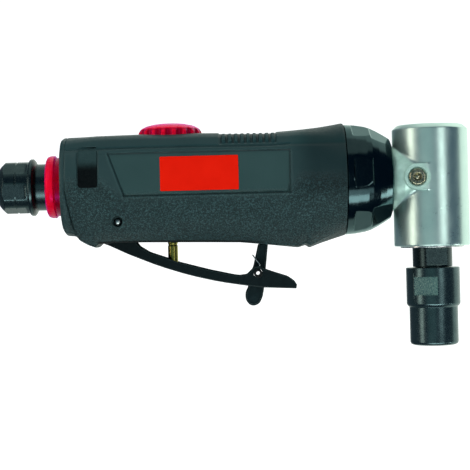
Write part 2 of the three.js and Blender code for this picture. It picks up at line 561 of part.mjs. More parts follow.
// ---------------------------------------------------------------- angle head
{
  const oval = (x, ry, rz, n = 2) => Array.from({ length: 24 }, (_, i) => {
    const a = (i / 24) * 2 * Math.PI;
    const [c, s] = [Math.cos(a), Math.sin(a)];
    return [x, ry * Math.sign(c) * Math.abs(c) ** (2 / n), rz * Math.sign(s) * Math.abs(s) ** (2 / n)];
  });
  const neck = loft([
    oval(-31.0, 14.8, 14.8), oval(-24.4, 14.8, 14.8), oval(-24.39, NECK_R, NECK_R), oval(-14.2, NECK_R, NECK_R),
    oval(-12.6, 11.9, 11.2, 2.2), oval(-10.5, 12.7, 11.0, 2.5), oval(-7.0, 13.1, 10.6, 2.6), oval(-4.5, 12.4, 9.8, 2.5),
  ]);
  const barrel = turned('z', [
    [HEAD_BOTTOM, 0], [HEAD_BOTTOM, HEAD_R], [HEAD_TOP - 1.8, HEAD_R], [HEAD_TOP - 0.55, HEAD_R - 0.5],
    [HEAD_TOP, HEAD_R - 1.8], [HEAD_TOP, 0],
  ], 32);
  const bossR = 4.65;
  const bossX = -6.28;
  const boss = plateXZ([
    ...Array.from({ length: 9 }, (_, i) => {
      const a = (90 + i * 22.5) * DEG;
      return [bossX + bossR * Math.cos(a), bossR * Math.sin(a)];
    }), [0.4, -bossR], [0.4, bossR],
  ], -13.5, -9);
  piece('angle_head', cut(
    join(neck, barrel, boss),
    // pinion bearing seat, gear chamber, spindle bearing seats and the retainer's thread
    rodX(-33, -3, 8.7, 20),
    rodZ(-12.3, 9.6, 9.9, 20),
    rodZ(-26, -12.15, 11.2, 24),
    rodZ(-26, -19.4, 11.6, 32),
    rodZ(9.0, 15.9, 7.7, 20),
    // hole of the grease plug
    rodY(-16, -7, 2.3, 12).translate([bossX, 0, 0]),
    rodY(-16, -12.2, 3.25, 16).translate([bossX, 0, 0]),
  ), ALUMINIUM, head);
  piece('grease_plug', turned('y', [
    [-13.55, 0], [-13.55, 2.6], [-13.3, 3.0], [-12.35, 3.0], [-12.35, 2.15], [-9.6, 2.15], [-9.6, 0],
  ], 14).translate([bossX, 0, 0]), BRASS, head);
}
bearing('upper_bearing', 'z', 10.2, 15.2, 3.0, 7.5, head);
bearing('lower_bearing', 'z', -19.2, -12.3, 4.0, 11.0, head, 8);
piece('bearing_retainer', turned('z', [
  [-25.1, 7.45], [-25.1, 11.35], [-19.6, 11.35], [-19.6, 9.25], [-21.7, 9.25], [-21.7, 7.45],
], 24), STEEL, head);
piece('spindle_seal', ringZ(-21.5, -19.9, 7.25, 8.9, 16), RUBBER, head);

// ---------------------------------------------------------------- spindle, collet and nut
{
  const body = turned('z', [
    [16.0 - 1.1, 0], [14.9, 2.85], [9.4, 2.85], [9.4, 3.85], [-19.45, 3.85], [-19.45, 7.1], [-31.9, 7.1], [-32.1, 6.0], [-47.0, 6.0],
    [-47.0, 5.35], [-33.0, 4.25], [-33.0, 0],
  ], 24);
  const flat = (sign) => block(-9, 9, NECK_FLAT_AF / 2, 12, -31.3, -25.4).rotate([0, 0, (sign > 0 ? 0 : 180) + NECK_FLAT_TURN]);
  piece('spindle', cut(body, flat(1), flat(-1)), BLACK_STEEL, head);

  const grip = turned('z', [
    [-34.0, COLLET_BORE_R], [-34.0, 3.95], [-50.0, 5.25], [-51.0, 5.25], [-57.6, 3.9], [-58.6, 3.9], [-58.6, COLLET_BORE_R],
  ], 20);
  const slit = block(0, 8, -0.35, 0.35, -60, -40);
  piece('collet', cut(grip, ...[0, 90, 180, 270].map((a) => slit.rotate([0, 0, 45 + a]))), STEEL, head);

  const nut = turned('z', [
    [-32.2, 6.35], [-32.2, NUT_R], [-45.2, NUT_R], [-46.3, 8.65], [-58.7, 8.65], [-59.6, 8.2], [-60.0, 7.4], [-60.0, 4.35],
    [-58.6, 4.35], [-51.2, 5.8], [-48.0, 5.8], [-48.0, 6.35],
  ], 28);
  const nutFlat = block(-9, 9, NUT_AF / 2, 12, -42.0, -35.4);
  piece('collet_nut', cut(nut, nutFlat.rotate([0, 0, NUT_FLAT_TURN]), nutFlat.rotate([0, 0, 180 + NUT_FLAT_TURN])), BLACK_STEEL, head);
}

export default object;
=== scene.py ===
import json
import math

import bmesh
import bpy
import numpy as np
from mathutils import Matrix, Vector


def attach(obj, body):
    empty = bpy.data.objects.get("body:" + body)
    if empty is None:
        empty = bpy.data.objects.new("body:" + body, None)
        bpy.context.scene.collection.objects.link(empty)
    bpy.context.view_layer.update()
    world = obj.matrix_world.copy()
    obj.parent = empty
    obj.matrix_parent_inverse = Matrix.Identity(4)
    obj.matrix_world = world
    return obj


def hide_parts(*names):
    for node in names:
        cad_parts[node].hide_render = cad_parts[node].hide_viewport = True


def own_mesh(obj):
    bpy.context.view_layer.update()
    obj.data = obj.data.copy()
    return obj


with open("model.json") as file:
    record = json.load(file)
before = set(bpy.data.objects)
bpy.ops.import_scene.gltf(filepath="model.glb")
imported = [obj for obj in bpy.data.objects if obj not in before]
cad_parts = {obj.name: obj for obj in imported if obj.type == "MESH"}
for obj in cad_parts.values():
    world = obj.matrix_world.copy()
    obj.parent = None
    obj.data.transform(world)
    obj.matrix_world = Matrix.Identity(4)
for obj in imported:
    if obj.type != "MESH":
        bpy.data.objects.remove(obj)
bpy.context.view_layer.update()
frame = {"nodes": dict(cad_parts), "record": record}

MM = 0.001
D = math.radians

# ------------------------------------------------------------------ mesh helpers (millimetres)


def new_object(name, verts, faces):
    me = bpy.data.meshes.new(name)
    me.from_pydata((np.asarray(verts, dtype=float) * MM).tolist(), [], [list(map(int, f)) for f in faces])
    me.update()
    ob = bpy.data.objects.new(name, me)
    bpy.context.scene.collection.objects.link(ob)
    return ob


def outward(ob):
    """Turns a closed mesh's faces out."""
    bm = bmesh.new()
    bm.from_mesh(ob.data)
    bmesh.ops.remove_doubles(bm, verts=bm.verts, dist=1e-7)
    if bm.calc_volume(signed=True) < 0:
        bmesh.ops.reverse_faces(bm, faces=bm.faces)
    bm.to_mesh(ob.data)
    bm.free()
    return ob


def fillet(points, radii, closed=True, seg=4):
    """A polyline with its corners rounded; radii is one radius or one for each point."""
    p = [np.array(q, dtype=float) for q in points]
    n = len(p)
    if not hasattr(radii, "__len__"):
        radii = [radii] * n
    out = []
    for i in range(n):
        if not closed and i in (0, n - 1) or radii[i] <= 0:
            out.append(tuple(p[i]))
            continue
        a, b = p[i - 1] - p[i], p[(i + 1) % n] - p[i]
        la, lb = np.linalg.norm(a), np.linalg.norm(b)
        a, b = a / la, b / lb
        c = float(np.clip(np.dot(a, b), -1, 1))
        turn = math.pi - math.acos(c)
        if turn < D(0.5) or turn > D(179):
            out.append(tuple(p[i]))
            continue
        t = min(radii[i] * math.tan(turn / 2), 0.49 * la, 0.49 * lb)
        r = t / math.tan(turn / 2)
        centre = p[i] + (a + b) / np.linalg.norm(a + b) * (r / math.cos(turn / 2))
        start, end = p[i] + a * t - centre, p[i] + b * t - centre
        s0 = math.atan2(start[1], start[0])
        s1 = math.atan2(end[1], end[0])
        while s1 - s0 > math.pi:
            s1 -= 2 * math.pi
        while s1 - s0 < -math.pi:
            s1 += 2 * math.pi
        steps = max(1, min(seg * 3, round(seg * abs(s1 - s0) / (math.pi / 2)) or 1))
        for k in range(steps + 1):
            s = s0 + (s1 - s0) * k / steps
            out.append((centre[0] + r * math.cos(s), centre[1] + r * math.sin(s)))
    return out


AXES = {
    "x": lambda h, r, c, s: (h, r * s, r * c),
    "y": lambda h, r, c, s: (r * c, h, r * s),
    "z": lambda h, r, c, s: (r * s, -r * c, h),
}


def finely(profile, step, where=lambda h, r: True):
    """A profile with points at most a step apart, where that is wanted."""
    out = [profile[0]]
    for a, b in zip(profile, profile[1:]):
        k = max(1, math.ceil(math.hypot(b[0] - a[0], b[1] - a[1]) / step)) if where(*a) and where(*b) else 1
        out += [(a[0] + (b[0] - a[0]) * i / k, a[1] + (b[1] - a[1]) * i / k) for i in range(1, k + 1)]
    return out


def soft_min(a, b, k):
    h = min(max(0.5 + 0.5 * (b - a) / k, 0.0), 1.0)
    return b * (1 - h) + a * h - k * h * (1 - h)


def lathe(name, axis, profile, n=96, centre=(0, 0, 0), radius=None):
    """A turned body. profile has (along, radius) pairs, closed on itself or on the axis. radius(h, r, angle) may change a radius."""
    prof = [(float(h), float(r)) for h, r in profile]
    open_ended = prof[0][1] < 1e-6 and prof[-1][1] < 1e-6
    place = AXES[axis]
    verts, rows = [], []
    ang = [2 * math.pi * k / n for k in range(n)]
    for h, r in prof:
        if r < 1e-6:
            rows.append([len(verts)])
            verts.append(place(h, 0, 1, 0))
        else:
            rows.append(list(range(len(verts), len(verts) + n)))
            for a in ang:
                q = radius(h, r, a) if radius else r
                verts.append(place(h, q, math.cos(a), math.sin(a)))
    faces = []
    pairs = list(zip(rows, rows[1:])) + ([] if open_ended else [(rows[-1], rows[0])])
    for a, b in pairs:
        for k in range(n):
            j = (k + 1) % n
            if len(a) == 1 and len(b) == 1:
                continue
            if len(a) == 1:
                faces.append((a[0], b[j], b[k]))
            elif len(b) == 1:
                faces.append((a[k], a[j], b[0]))
            else:
                faces.append((a[k], a[j], b[j], b[k]))
    ob = new_object(name, np.array(verts) + np.array(centre), faces)
    return outward(ob)


def area2(p):
    q = np.roll(p, -1, axis=0)
    return float(np.sum(p[:, 0] * q[:, 1] - q[:, 0] * p[:, 1])) / 2


def inset(p, d):
    """A closed outline moved inwards by d."""
    way = 1.0 if area2(p) > 0 else -1.0
    a, b = p - np.roll(p, 1, axis=0), np.roll(p, -1, axis=0) - p
    n1 = np.stack([-a[:, 1], a[:, 0]], 1) * way
    n2 = np.stack([-b[:, 1], b[:, 0]], 1) * way
    n1 /= np.maximum(np.linalg.norm(n1, axis=1, keepdims=True), 1e-9)
    n2 /= np.maximum(np.linalg.norm(n2, axis=1, keepdims=True), 1e-9)
    m = (n1 + n2) / np.maximum(1 + np.sum(n1 * n2, axis=1, keepdims=True), 0.35)
    return p + m * d


def prism(name, outline, y0, y1, bevel=0.25, seg=3):
    """An outline in X and Z given its thickness along Y, with rounded edges."""
    p = np.array(outline, dtype=float)
    layers = []
    if bevel > 0:
        for k in range(seg + 1):
            a = math.pi / 2 * k / seg
            layers.append((y0 + bevel * (1 - math.sin(a)), bevel * (1 - math.cos(a))))
        for k in range(seg + 1):
            a = math.pi / 2 * (1 - k / seg)
            layers.append((y1 - bevel * (1 - math.sin(a)), bevel * (1 - math.cos(a))))
    else:
        layers = [(y0, 0), (y1, 0)]
    verts, n = [], len(p)
    for y, d in layers:
        q = inset(p, d) if d > 1e-9 else p
        verts += [(x, y, z) for x, z in q]
    faces = []
    for k in range(len(layers) - 1):
        for i in range(n):
            j = (i + 1) % n
            faces.append((k * n + i, k * n + j, (k + 1) * n + j, (k + 1) * n + i))
    faces.append(tuple(range(n))[::-1])
    faces.append(tuple(range((len(layers) - 1) * n, len(layers) * n)))
    ob = new_object(name, verts, faces)
    bm = bmesh.new()
    bm.from_mesh(ob.data)
    bmesh.ops.recalc_face_normals(bm, faces=bm.faces)
    bm.to_mesh(ob.data)
    bm.free()
    return outward(ob)


def box(name, x0, x1, y0, y1, z0, z1):
    return prism(name, [(x0, z0), (x1, z0), (x1, z1), (x0, z1)], y0, y1, 0)


def rod(axis, a0, a1, r, centre=(0, 0, 0), n=48):
    return lathe("tool", axis, [(a0, 0), (a0, r), (a1, r), (a1, 0)], n, centre)


def turn(ob, axis, degrees, about=(0, 0, 0)):
    c = Vector(about) * MM
    ob.data.transform(Matrix.Translation(c) @ Matrix.Rotation(D(degrees), 4, axis) @ Matrix.Translation(-c))
    return ob


def settle(ob):
    """Applies the modifiers."""
    bpy.context.view_layer.update()
    dg = bpy.context.evaluated_depsgraph_get()
    me = bpy.data.meshes.new_from_object(ob.evaluated_get(dg))
    ob.modifiers.clear()
    old = ob.data
    ob.data = me
    bpy.data.meshes.remove(old)
    return ob


def boolean(ob, tools, op="DIFFERENCE"):
    for t in tools:
        m = ob.modifiers.new("cut", "BOOLEAN")
        m.operation, m.object, m.solver = op, t, "MANIFOLD"
        settle(ob)
    for t in tools:
        me = t.data
        bpy.data.objects.remove(t)
        bpy.data.meshes.remove(me)
    return ob


def copy_of(ob, name):
    c = bpy.data.objects.new(name, ob.data.copy())
    bpy.context.scene.collection.objects.link(c)
    return c


def put(ob, body, slot, material, *nodes, angle=38, weighted=True):
    me = ob.data
    me.materials.clear()
    me.materials.append(material)
    me.polygons.foreach_set("material_index", [0] * len(me.polygons))
    me.polygons.foreach_set("use_smooth", [True] * len(me.polygons))
    me.set_sharp_from_angle(angle=D(angle))
    me.update()
    if weighted:
        w = ob.modifiers.new("normals", "WEIGHTED_NORMAL")
        w.keep_sharp = True
        settle(ob)
    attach(ob, body)
    if nodes:
        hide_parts(*nodes)
    return ob


def sstep(t):
    t = np.clip(t, 0, 1)
    return t * t * (3 - 2 * t)


# ------------------------------------------------------------------ materials


class Shader:
    """A small builder for a Principled material."""

    def __init__(self, name):
        self.m = bpy.data.materials.new(name)
        self.m.use_nodes = True
        self.t = self.m.node_tree
        self.t.nodes.clear()
        self.out = self.t.nodes.new("ShaderNodeOutputMaterial")
        self.b = self.t.nodes.new("ShaderNodeBsdfPrincipled")
        self.t.links.new(self.b.outputs[0], self.out.inputs[0])
        self.coord = self.t.nodes.new("ShaderNodeTexCoord").outputs["Object"]

    def set(self, **values):
        for k, v in values.items():
            self.b.inputs[k.replace("_", " ")].default_value = v
        return self

    def node(self, kind, inputs=None, **props):
        n = self.t.nodes.new("ShaderNode" + kind)
        for k, v in props.items():
            setattr(n, k, v)
        for k, v in (inputs or {}).items():
            if isinstance(v, bpy.types.NodeSocket):
                self.t.links.new(v, n.inputs[k])
            else:
                n.inputs[k].default_value = v
        return n

    def link(self, a, name):
        self.t.links.new(a, self.b.inputs[name])

    def math(self, op, a, b=0.0, c=0.0, clamp=False):
        return self.node("Math", {0: a, 1: b, 2: c}, operation=op, use_clamp=clamp).outputs[0]

    def scaled(self, s):
        return self.node("Mapping", {"Vector": self.coord, "Scale": s}).outputs[0]

    def noise(self, scale, detail=3.0, rough=0.55, vector=None, distort=0.0):
        return self.node("TexNoise", {"Vector": vector or self.coord, "Scale": scale, "Detail": detail, "Roughness": rough, "Distortion": distort}).outputs["Fac"]

    def voronoi(self, scale, feature="F1", vector=None):
        return self.node("TexVoronoi", {"Vector": vector or self.coord, "Scale": scale}, feature=feature).outputs["Distance"]

    def ramp(self, fac, stops):
        n = self.node("ValToRGB", {0: fac})
        e = n.color_ramp.elements
        while len(e) < len(stops):
            e.new(0.5)
        for el, (pos, col) in zip(e, stops):
            el.position = pos
            el.color = (*col, 1) if hasattr(col, "__len__") else (col, col, col, 1)
        return n.outputs[0]

    def span(self, v, a, b, c=0.0, d=1.0, smooth=True):
        return self.node("MapRange", {"Value": v, "From Min": a, "From Max": b, "To Min": c, "To Max": d},
                         interpolation_type="SMOOTHSTEP" if smooth else "LINEAR").outputs[0]

    def mix(self, fac, a, b):
        n = self.node("Mix", data_type="RGBA")
        for k, v in ((0, fac), (6, a), (7, b)):
            if isinstance(v, bpy.types.NodeSocket):
                self.t.links.new(v, n.inputs[k])
            else:
                n.inputs[k].default_value = v if k == 0 else (*v, 1)
        return n.outputs[2]

    def bump(self, *layers):
        """layers are (height, strength, distance in metres)."""
        normal = None
        for height, strength, distance in layers:
            n = self.node("Bump", {"Height": height, "Strength": strength, "Distance": distance})
            if normal is not None:
                self.t.links.new(normal, n.inputs["Normal"])
            normal = n.outputs[0]
        self.link(normal, "Normal")

    def xyz(self):
        return self.node("SeparateXYZ", {0: self.coord}).outputs

    def edges(self, radius):
        """1 along convex edges."""
        b = self.node("Bevel", {"Radius": radius}, samples=4).outputs[0]
        g = self.node("NewGeometry").outputs["Normal"]
        dot = self.node("VectorMath", {0: b, 1: g}, operation="DOT_PRODUCT").outputs["Value"]
        return self.span(dot, 0.985, 0.80)


MATS = {}


def grip_material():
    s = Shader("grip_composite")
    x, y, z = s.xyz()
    # the pebble grain lies on the lower sides and fades out above them
    inner = s.math("MULTIPLY", s.span(x, -0.036, -0.028), s.span(x, 0.0345, 0.0295))
    low = s.span(inner, 0.0, 1.0, 0.0002, -0.0054, smooth=False)
    grain = s.span(s.math("SUBTRACT", z, low), 0.0042, -0.0028)
    cover = s.span(x, -0.0472, -0.0478)
    grain = s.math("MULTIPLY", grain, s.span(cover, 0.0, 1.0, 1.0, 0.35))
    pebble = s.noise(2200, 2, 0.55, distort=0.6)
    cell = s.voronoi(1900, "SMOOTH_F1")
    fine = s.noise(3600, 3, 0.6)
    height = s.math("SUBTRACT", s.span(pebble, 0.36, 0.64), s.math("MULTIPLY", cell, 0.45))
    big = s.noise(60, 3, 0.5)
    base = s.ramp(big, [(0.3, (0.0195, 0.0425, 0.0450)), (0.7, (0.0235, 0.0490, 0.0515))])
    # the grain's tone follows its height: painted highlight on the pebble tops and painted shade in the pits
    speck = s.ramp(height, [(0.0, 0.62), (0.35, 0.92), (0.85, 2.1)])
    col = s.node("Mix", {0: grain, 6: base}, data_type="RGBA", blend_type="MULTIPLY")
    s.t.links.new(speck, col.inputs[7])
    # painted shade: the belly between the side edges is darkened as if in shadow
    dx = s.math("ADD", x, 0.03)
    edge_z = s.math("SUBTRACT", s.math("MULTIPLY", s.math("MULTIPLY", dx, dx), -0.42), 0.0199)
    belly_shade = s.math("MULTIPLY", s.span(s.math("SUBTRACT", z, edge_z), 0.0001, -0.0003), s.math("MULTIPLY", s.span(x, -0.0385, -0.0370), s.span(x, 0.026, 0.012)))
    shade = s.mix(belly_shade, (1, 1, 1), (0.16, 0.17, 0.18))
    col2 = s.node("Mix", {0: 1.0, 6: col.outputs[2], 7: shade}, data_type="RGBA", blend_type="MULTIPLY")
    # the raised panel is smoother and paler, and the front flare is darkened with painted shade
    slant = s.math("ADD", x, s.math("MULTIPLY_ADD", z, 0.362, 0.0275 + 0.362 * 0.0046))
    within = s.math("MULTIPLY", s.span(slant, -0.0001, 0.0004), s.span(x, 0.0307, 0.0303))
    within = s.math("MULTIPLY", within, s.math("MULTIPLY", s.span(z, -0.0048, -0.0044), s.span(z, 0.0106, 0.0090)))
    pale = s.mix(within, (1, 1, 1), (1.24, 1.27, 1.22))
    col2 = s.node("Mix", {0: 1.0, 6: col2.outputs[2], 7: pale}, data_type="RGBA", blend_type="MULTIPLY")
    flare_shade = s.mix(s.math("MULTIPLY", s.span(x, 0.0285, 0.0400), s.span(z, -0.0090, -0.0010)), (1, 1, 1), (0.46, 0.52, 0.54))
    col2 = s.node("Mix", {0: 1.0, 6: col2.outputs[2], 7: flare_shade}, data_type="RGBA", blend_type="MULTIPLY")
    # painted shade and tint: the crown above the ledge is darkened and recoloured, and its front end lightened, for how
    # the light falls on them
    above = s.mix(s.span(z, 0.0118, 0.0126), (1, 1, 1), (0.72, 0.76, 0.78))
    col2 = s.node("Mix", {0: 1.0, 6: col2.outputs[2], 7: above}, data_type="RGBA", blend_type="MULTIPLY")
    crown = s.span(z, 0.0118, 0.0130)
    front = s.math("MULTIPLY", crown, s.span(x, 0.0280, 0.0360))
    top = s.mix(crown, (1, 1, 1), (0.85, 1.10, 1.12))
    col2 = s.node("Mix", {0: 1.0, 6: col2.outputs[2], 7: top}, data_type="RGBA", blend_type="MULTIPLY")
    top = s.mix(front, (1, 1, 1), (0.95, 1.26, 1.22))
    col2 = s.node("Mix", {0: 1.0, 6: col2.outputs[2], 7: top}, data_type="RGBA", blend_type="MULTIPLY")
    s.link(s.math("SUBTRACT", 0.22, s.math("ADD", s.math("MULTIPLY", crown, 0.05), s.math("MULTIPLY", front, 0.07))), "Specular IOR Level")
    # painted shade in the creases round the panel, and a painted highlight on the lip outside them
    def band(v, a, b, c, d):
        return s.math("MULTIPLY", s.span(v, a, b), s.span(v, d, c))
    tall = s.math("MULTIPLY", s.span(z, -0.0052, -0.0046), s.span(z, 0.0110, 0.0104))
    wide = s.math("MULTIPLY", s.span(slant, -0.0006, -0.0001), s.span(x, 0.0311, 0.0306))
    crease = s.math("MAXIMUM", s.math("MULTIPLY", tall, s.math("MAXIMUM", band(slant, -0.0001, 0.00010, 0.00030, 0.00055), s.math("MULTIPLY", band(x, 0.0300, 0.0302, 0.0305, 0.0307), 0.6))),
                    s.math("MULTIPLY", wide, s.math("MAXIMUM", band(z, -0.0047, -0.0045, -0.00425, -0.0040), s.math("MULTIPLY", band(z, 0.0100, 0.0102, 0.0104, 0.0106), 0.6))))
    lip = s.math("MAXIMUM", s.math("MULTIPLY", tall, s.math("MAXIMUM", band(slant, -0.0009, -0.0006, -0.0004, -0.0001), s.math("MULTIPLY", band(x, 0.0308, 0.0310, 0.0312, 0.0315), 0.6))),
                 s.math("MULTIPLY", wide, band(z, -0.0054, -0.0051, -0.0050, -0.0047)))
    crease_shade = s.mix(crease, (1, 1, 1), (0.38, 0.42, 0.44))
    col2 = s.node("Mix", {0: 1.0, 6: col2.outputs[2], 7: crease_shade}, data_type="RGBA", blend_type="MULTIPLY")
    lip_highlight = s.mix(lip, (1, 1, 1), (1.35, 1.32, 1.30))
    col2 = s.node("Mix", {0: 1.0, 6: col2.outputs[2], 7: lip_highlight}, data_type="RGBA", blend_type="MULTIPLY")
    # and painted shade between the ribs on the upper bevel
    u = s.math("ABSOLUTE", s.math("SUBTRACT", s.math("FRACT", s.math("MULTIPLY_ADD", x, 1 / 0.00216, 0.5 - 7.6 / 2.16)), 0.5))
    gap = s.math("MULTIPLY", s.span(u, 0.25, 0.34), band(x, 0.0061, 0.0065, 0.0256, 0.0260))
    gap = s.math("MULTIPLY", s.math("MULTIPLY", gap, s.span(z, 0.0131, 0.0134)), s.math("MULTIPLY", s.span(z, 0.0171, 0.0167), s.span(y, -0.0088, -0.0092)))
    painted_shade = s.mix(gap, (1, 1, 1), (0.42, 0.45, 0.47))
    col2 = s.node("Mix", {0: 1.0, 6: col2.outputs[2], 7: painted_shade}, data_type="RGBA", blend_type="MULTIPLY")
    # painted highlight along the convex edges
    edge_highlight = s.mix(s.math("MULTIPLY", s.edges(0.00045), 0.5), (0, 0, 0), (0.045, 0.075, 0.075))
    total = s.node("Mix", {0: 1.0, 6: col2.outputs[2], 7: edge_highlight}, data_type="RGBA", blend_type="ADD")
    s.link(total.outputs[2], "Base Color")
    s.link(s.math("ADD", s.math("MULTIPLY", grain, 0.10), s.span(s.noise(900, 2, 0.5), 0.3, 0.7, 0.38, 0.48)), "Roughness")
    s.bump((s.math("MULTIPLY", height, grain), 0.8, 0.00030), (fine, 0.10, 0.00006))
    return s.m


def red_material():
    s = Shader("red_plastic").set(Specular_IOR_Level=0.36, Specular_Tint=(1.0, 0.06, 0.75, 1), Sheen_Weight=1.0, Sheen_Roughness=0.35, Sheen_Tint=(0.85, 0.0, 0.85, 1))
    n = s.noise(220, 3, 0.5)
    # painted shade: the exhaust ring's inner collar is darkened as if in shadow
    x, y, z = s.xyz()
    collar_shade = s.math("MULTIPLY", s.span(x, -0.0527, -0.0524), s.span(x, -0.0495, -0.0500))
    base = s.mix(s.span(x, -0.0500, -0.0495), (0.97, 0.9, 0.95), (1, 1, 1))
    base = s.node("Mix", {0: 1.0, 6: base, 7: s.mix(collar_shade, (1, 1, 1), (0.42, 0.30, 0.40))}, data_type="RGBA", blend_type="MULTIPLY").outputs[2]
    # painted shade in the knob's flutes
    kx = s.math("ADD", x, 0.0117)
    kr = s.math("SQRT", s.math("ADD", s.math("MULTIPLY", kx, kx), s.math("MULTIPLY", y, y)))
    flute = s.math("MULTIPLY", s.math("MULTIPLY", s.span(kr, 0.0113, 0.0107), s.span(kr, 0.0098, 0.0102)), s.math("MULTIPLY", s.span(z, 0.0198, 0.0192), s.span(z, 0.0140, 0.0150)))
    base = s.node("Mix", {0: 1.0, 6: base, 7: s.mix(flute, (1.15, 1.2, 1.3), (0.48, 0.35, 0.6))}, data_type="RGBA", blend_type="MULTIPLY").outputs[2]
    base = s.node("Mix", {0: 1.0, 6: s.ramp(n, [(0.3, (0.72, 0.0020, 0.0120)), (0.7, (0.82, 0.0035, 0.0170))]), 7: base}, data_type="RGBA", blend_type="MULTIPLY").outputs[2]
    s.link(base, "Base Color")
    s.link(s.span(s.noise(900, 2, 0.5), 0.3, 0.7, 0.24, 0.34), "Roughness")
    s.bump((s.noise(2600, 2, 0.5), 0.06, 0.00005))
    return s.m


def label_material(name, a, b, rough):
    s = Shader(name).set(Specular_IOR_Level=0.08)
    s.link(s.ramp(s.noise(160, 3, 0.5), [(0.3, a), (0.7, b)]), "Base Color")
    s.link(s.span(s.noise(1200, 2, 0.5), 0.3, 0.7, rough - 0.05, rough + 0.05), "Roughness")
    s.bump((s.noise(5200, 3, 0.6), 0.10, 0.00004))
    return s.m


def plate_material():
    s = Shader("black_plate").set(Specular_IOR_Level=0.10)
    x, y, z = s.xyz()
    up = s.span(z, 0.0048, 0.0088)
    speck = s.noise(1500, 3, 0.6)
    dark = s.ramp(speck, [(0.3, (0.0010, 0.0018, 0.0022)), (0.7, (0.0040, 0.0060, 0.0066))])
    top = s.ramp(speck, [(0.3, (0.0170, 0.0370, 0.0390)), (0.7, (0.0260, 0.0500, 0.0520))])
    s.link(s.mix(up, dark, top), "Base Color")
    s.link(s.span(speck, 0.3, 0.7, 0.34, 0.48), "Roughness")
    s.bump((speck, 0.2, 0.00008))
    return s.m


def black_steel_material(name="black_oxide_steel", tone=1.0, window=False):
    s = Shader(name)
    n = s.noise(260, 2, 0.5)
    base = s.ramp(n, [(0.3, tuple(tone * c for c in (0.034, 0.057, 0.061))), (0.7, tuple(tone * c for c in (0.050, 0.079, 0.083)))])
    # painted highlight along the convex edges
    edge = s.edges(0.00035)
    col = s.node("Mix", {0: s.math("MULTIPLY", edge, 0.7), 6: base}, data_type="RGBA")
    col.inputs[7].default_value = (0.16, 0.22, 0.21, 1)
    x, y, z = s.xyz()
    # painted shade behind the inlet's collar
    painted_shade = s.mix(s.math("MULTIPLY", s.span(x, -0.0612, -0.0608), s.span(x, -0.0590, -0.0596)), (1, 1, 1), (0.25, 0.3, 0.3))
    col = s.node("Mix", {0: 1.0, 6: col.outputs[2], 7: painted_shade}, data_type="RGBA", blend_type="MULTIPLY").outputs[2]
    if window:
        # the ground spanner windows in the nut are barer than its skin
        dx = s.math("SUBTRACT", x, 0.0816)
        r = s.math("SQRT", s.math("ADD", s.math("MULTIPLY", dx, dx), s.math("MULTIPLY", y, y)))
        bare = s.math("MULTIPLY", s.span(r, 0.00957, 0.00950), s.math("MULTIPLY", s.span(z, -0.0422, -0.0419), s.span(z, -0.0353, -0.0356)))
        weave = s.math("MULTIPLY", s.span(s.noise(900, 2, 0.5, s.scaled((1, 1, 4))), 0.35, 0.65), s.span(s.noise(1500, 2, 0.5, s.scaled((3, 3, 1))), 0.3, 0.7))
        col = s.mix(bare, col, s.ramp(weave, [(0.0, (0.29, 0.46, 0.40)), (1.0, (0.42, 0.60, 0.52))]))
    s.link(col, "Base Color")
    s.link(s.span(n, 0.2, 0.8, 0.92, 0.96), "Metallic")
    s.link(s.span(s.noise(1400, 3, 0.6), 0.3, 0.7, 0.24, 0.31), "Roughness")
    s.bump((s.noise(3600, 3, 0.6), 0.05, 0.00004))
    return s.m


def black_gloss_material():
    s = Shader("black_gloss").set(Metallic=1.0, Specular_Tint=(0.76, 0.88, 0.88, 1))
    n = s.noise(240, 3, 0.5)
    s.link(s.ramp(n, [(0.3, (0.032, 0.056, 0.060)), (0.7, (0.042, 0.068, 0.072))]), "Base Color")
    s.link(s.span(s.noise(900, 3, 0.6), 0.3, 0.7, 0.12, 0.16), "Roughness")
    s.bump((s.noise(1900, 2, 0.5), 0.03, 0.00003))
    return s.m


def lever_material(name="black_lever", tone=1.15):
    s = Shader(name).set(Specular_IOR_Level=0.16)
    n = s.noise(700, 4, 0.6)
    base = s.ramp(n, [(0.3, tuple(tone * c for c in (0.0015, 0.0048, 0.0060))), (0.7, tuple(tone * c for c in (0.0034, 0.0086, 0.0098)))])
    # painted highlight along the convex edges
    edge = s.edges(0.0004)
    col = s.node("Mix", {0: s.math("MULTIPLY", edge, 0.4), 6: base}, data_type="RGBA")
    col.inputs[7].default_value = (0.045, 0.078, 0.080, 1)
    s.link(col.outputs[2], "Base Color")
    s.link(s.span(s.noise(1600, 3, 0.6), 0.3, 0.7, 0.34, 0.5), "Roughness")
    s.bump((s.noise(2400, 3, 0.6), 0.25, 0.00009))
    return s.m


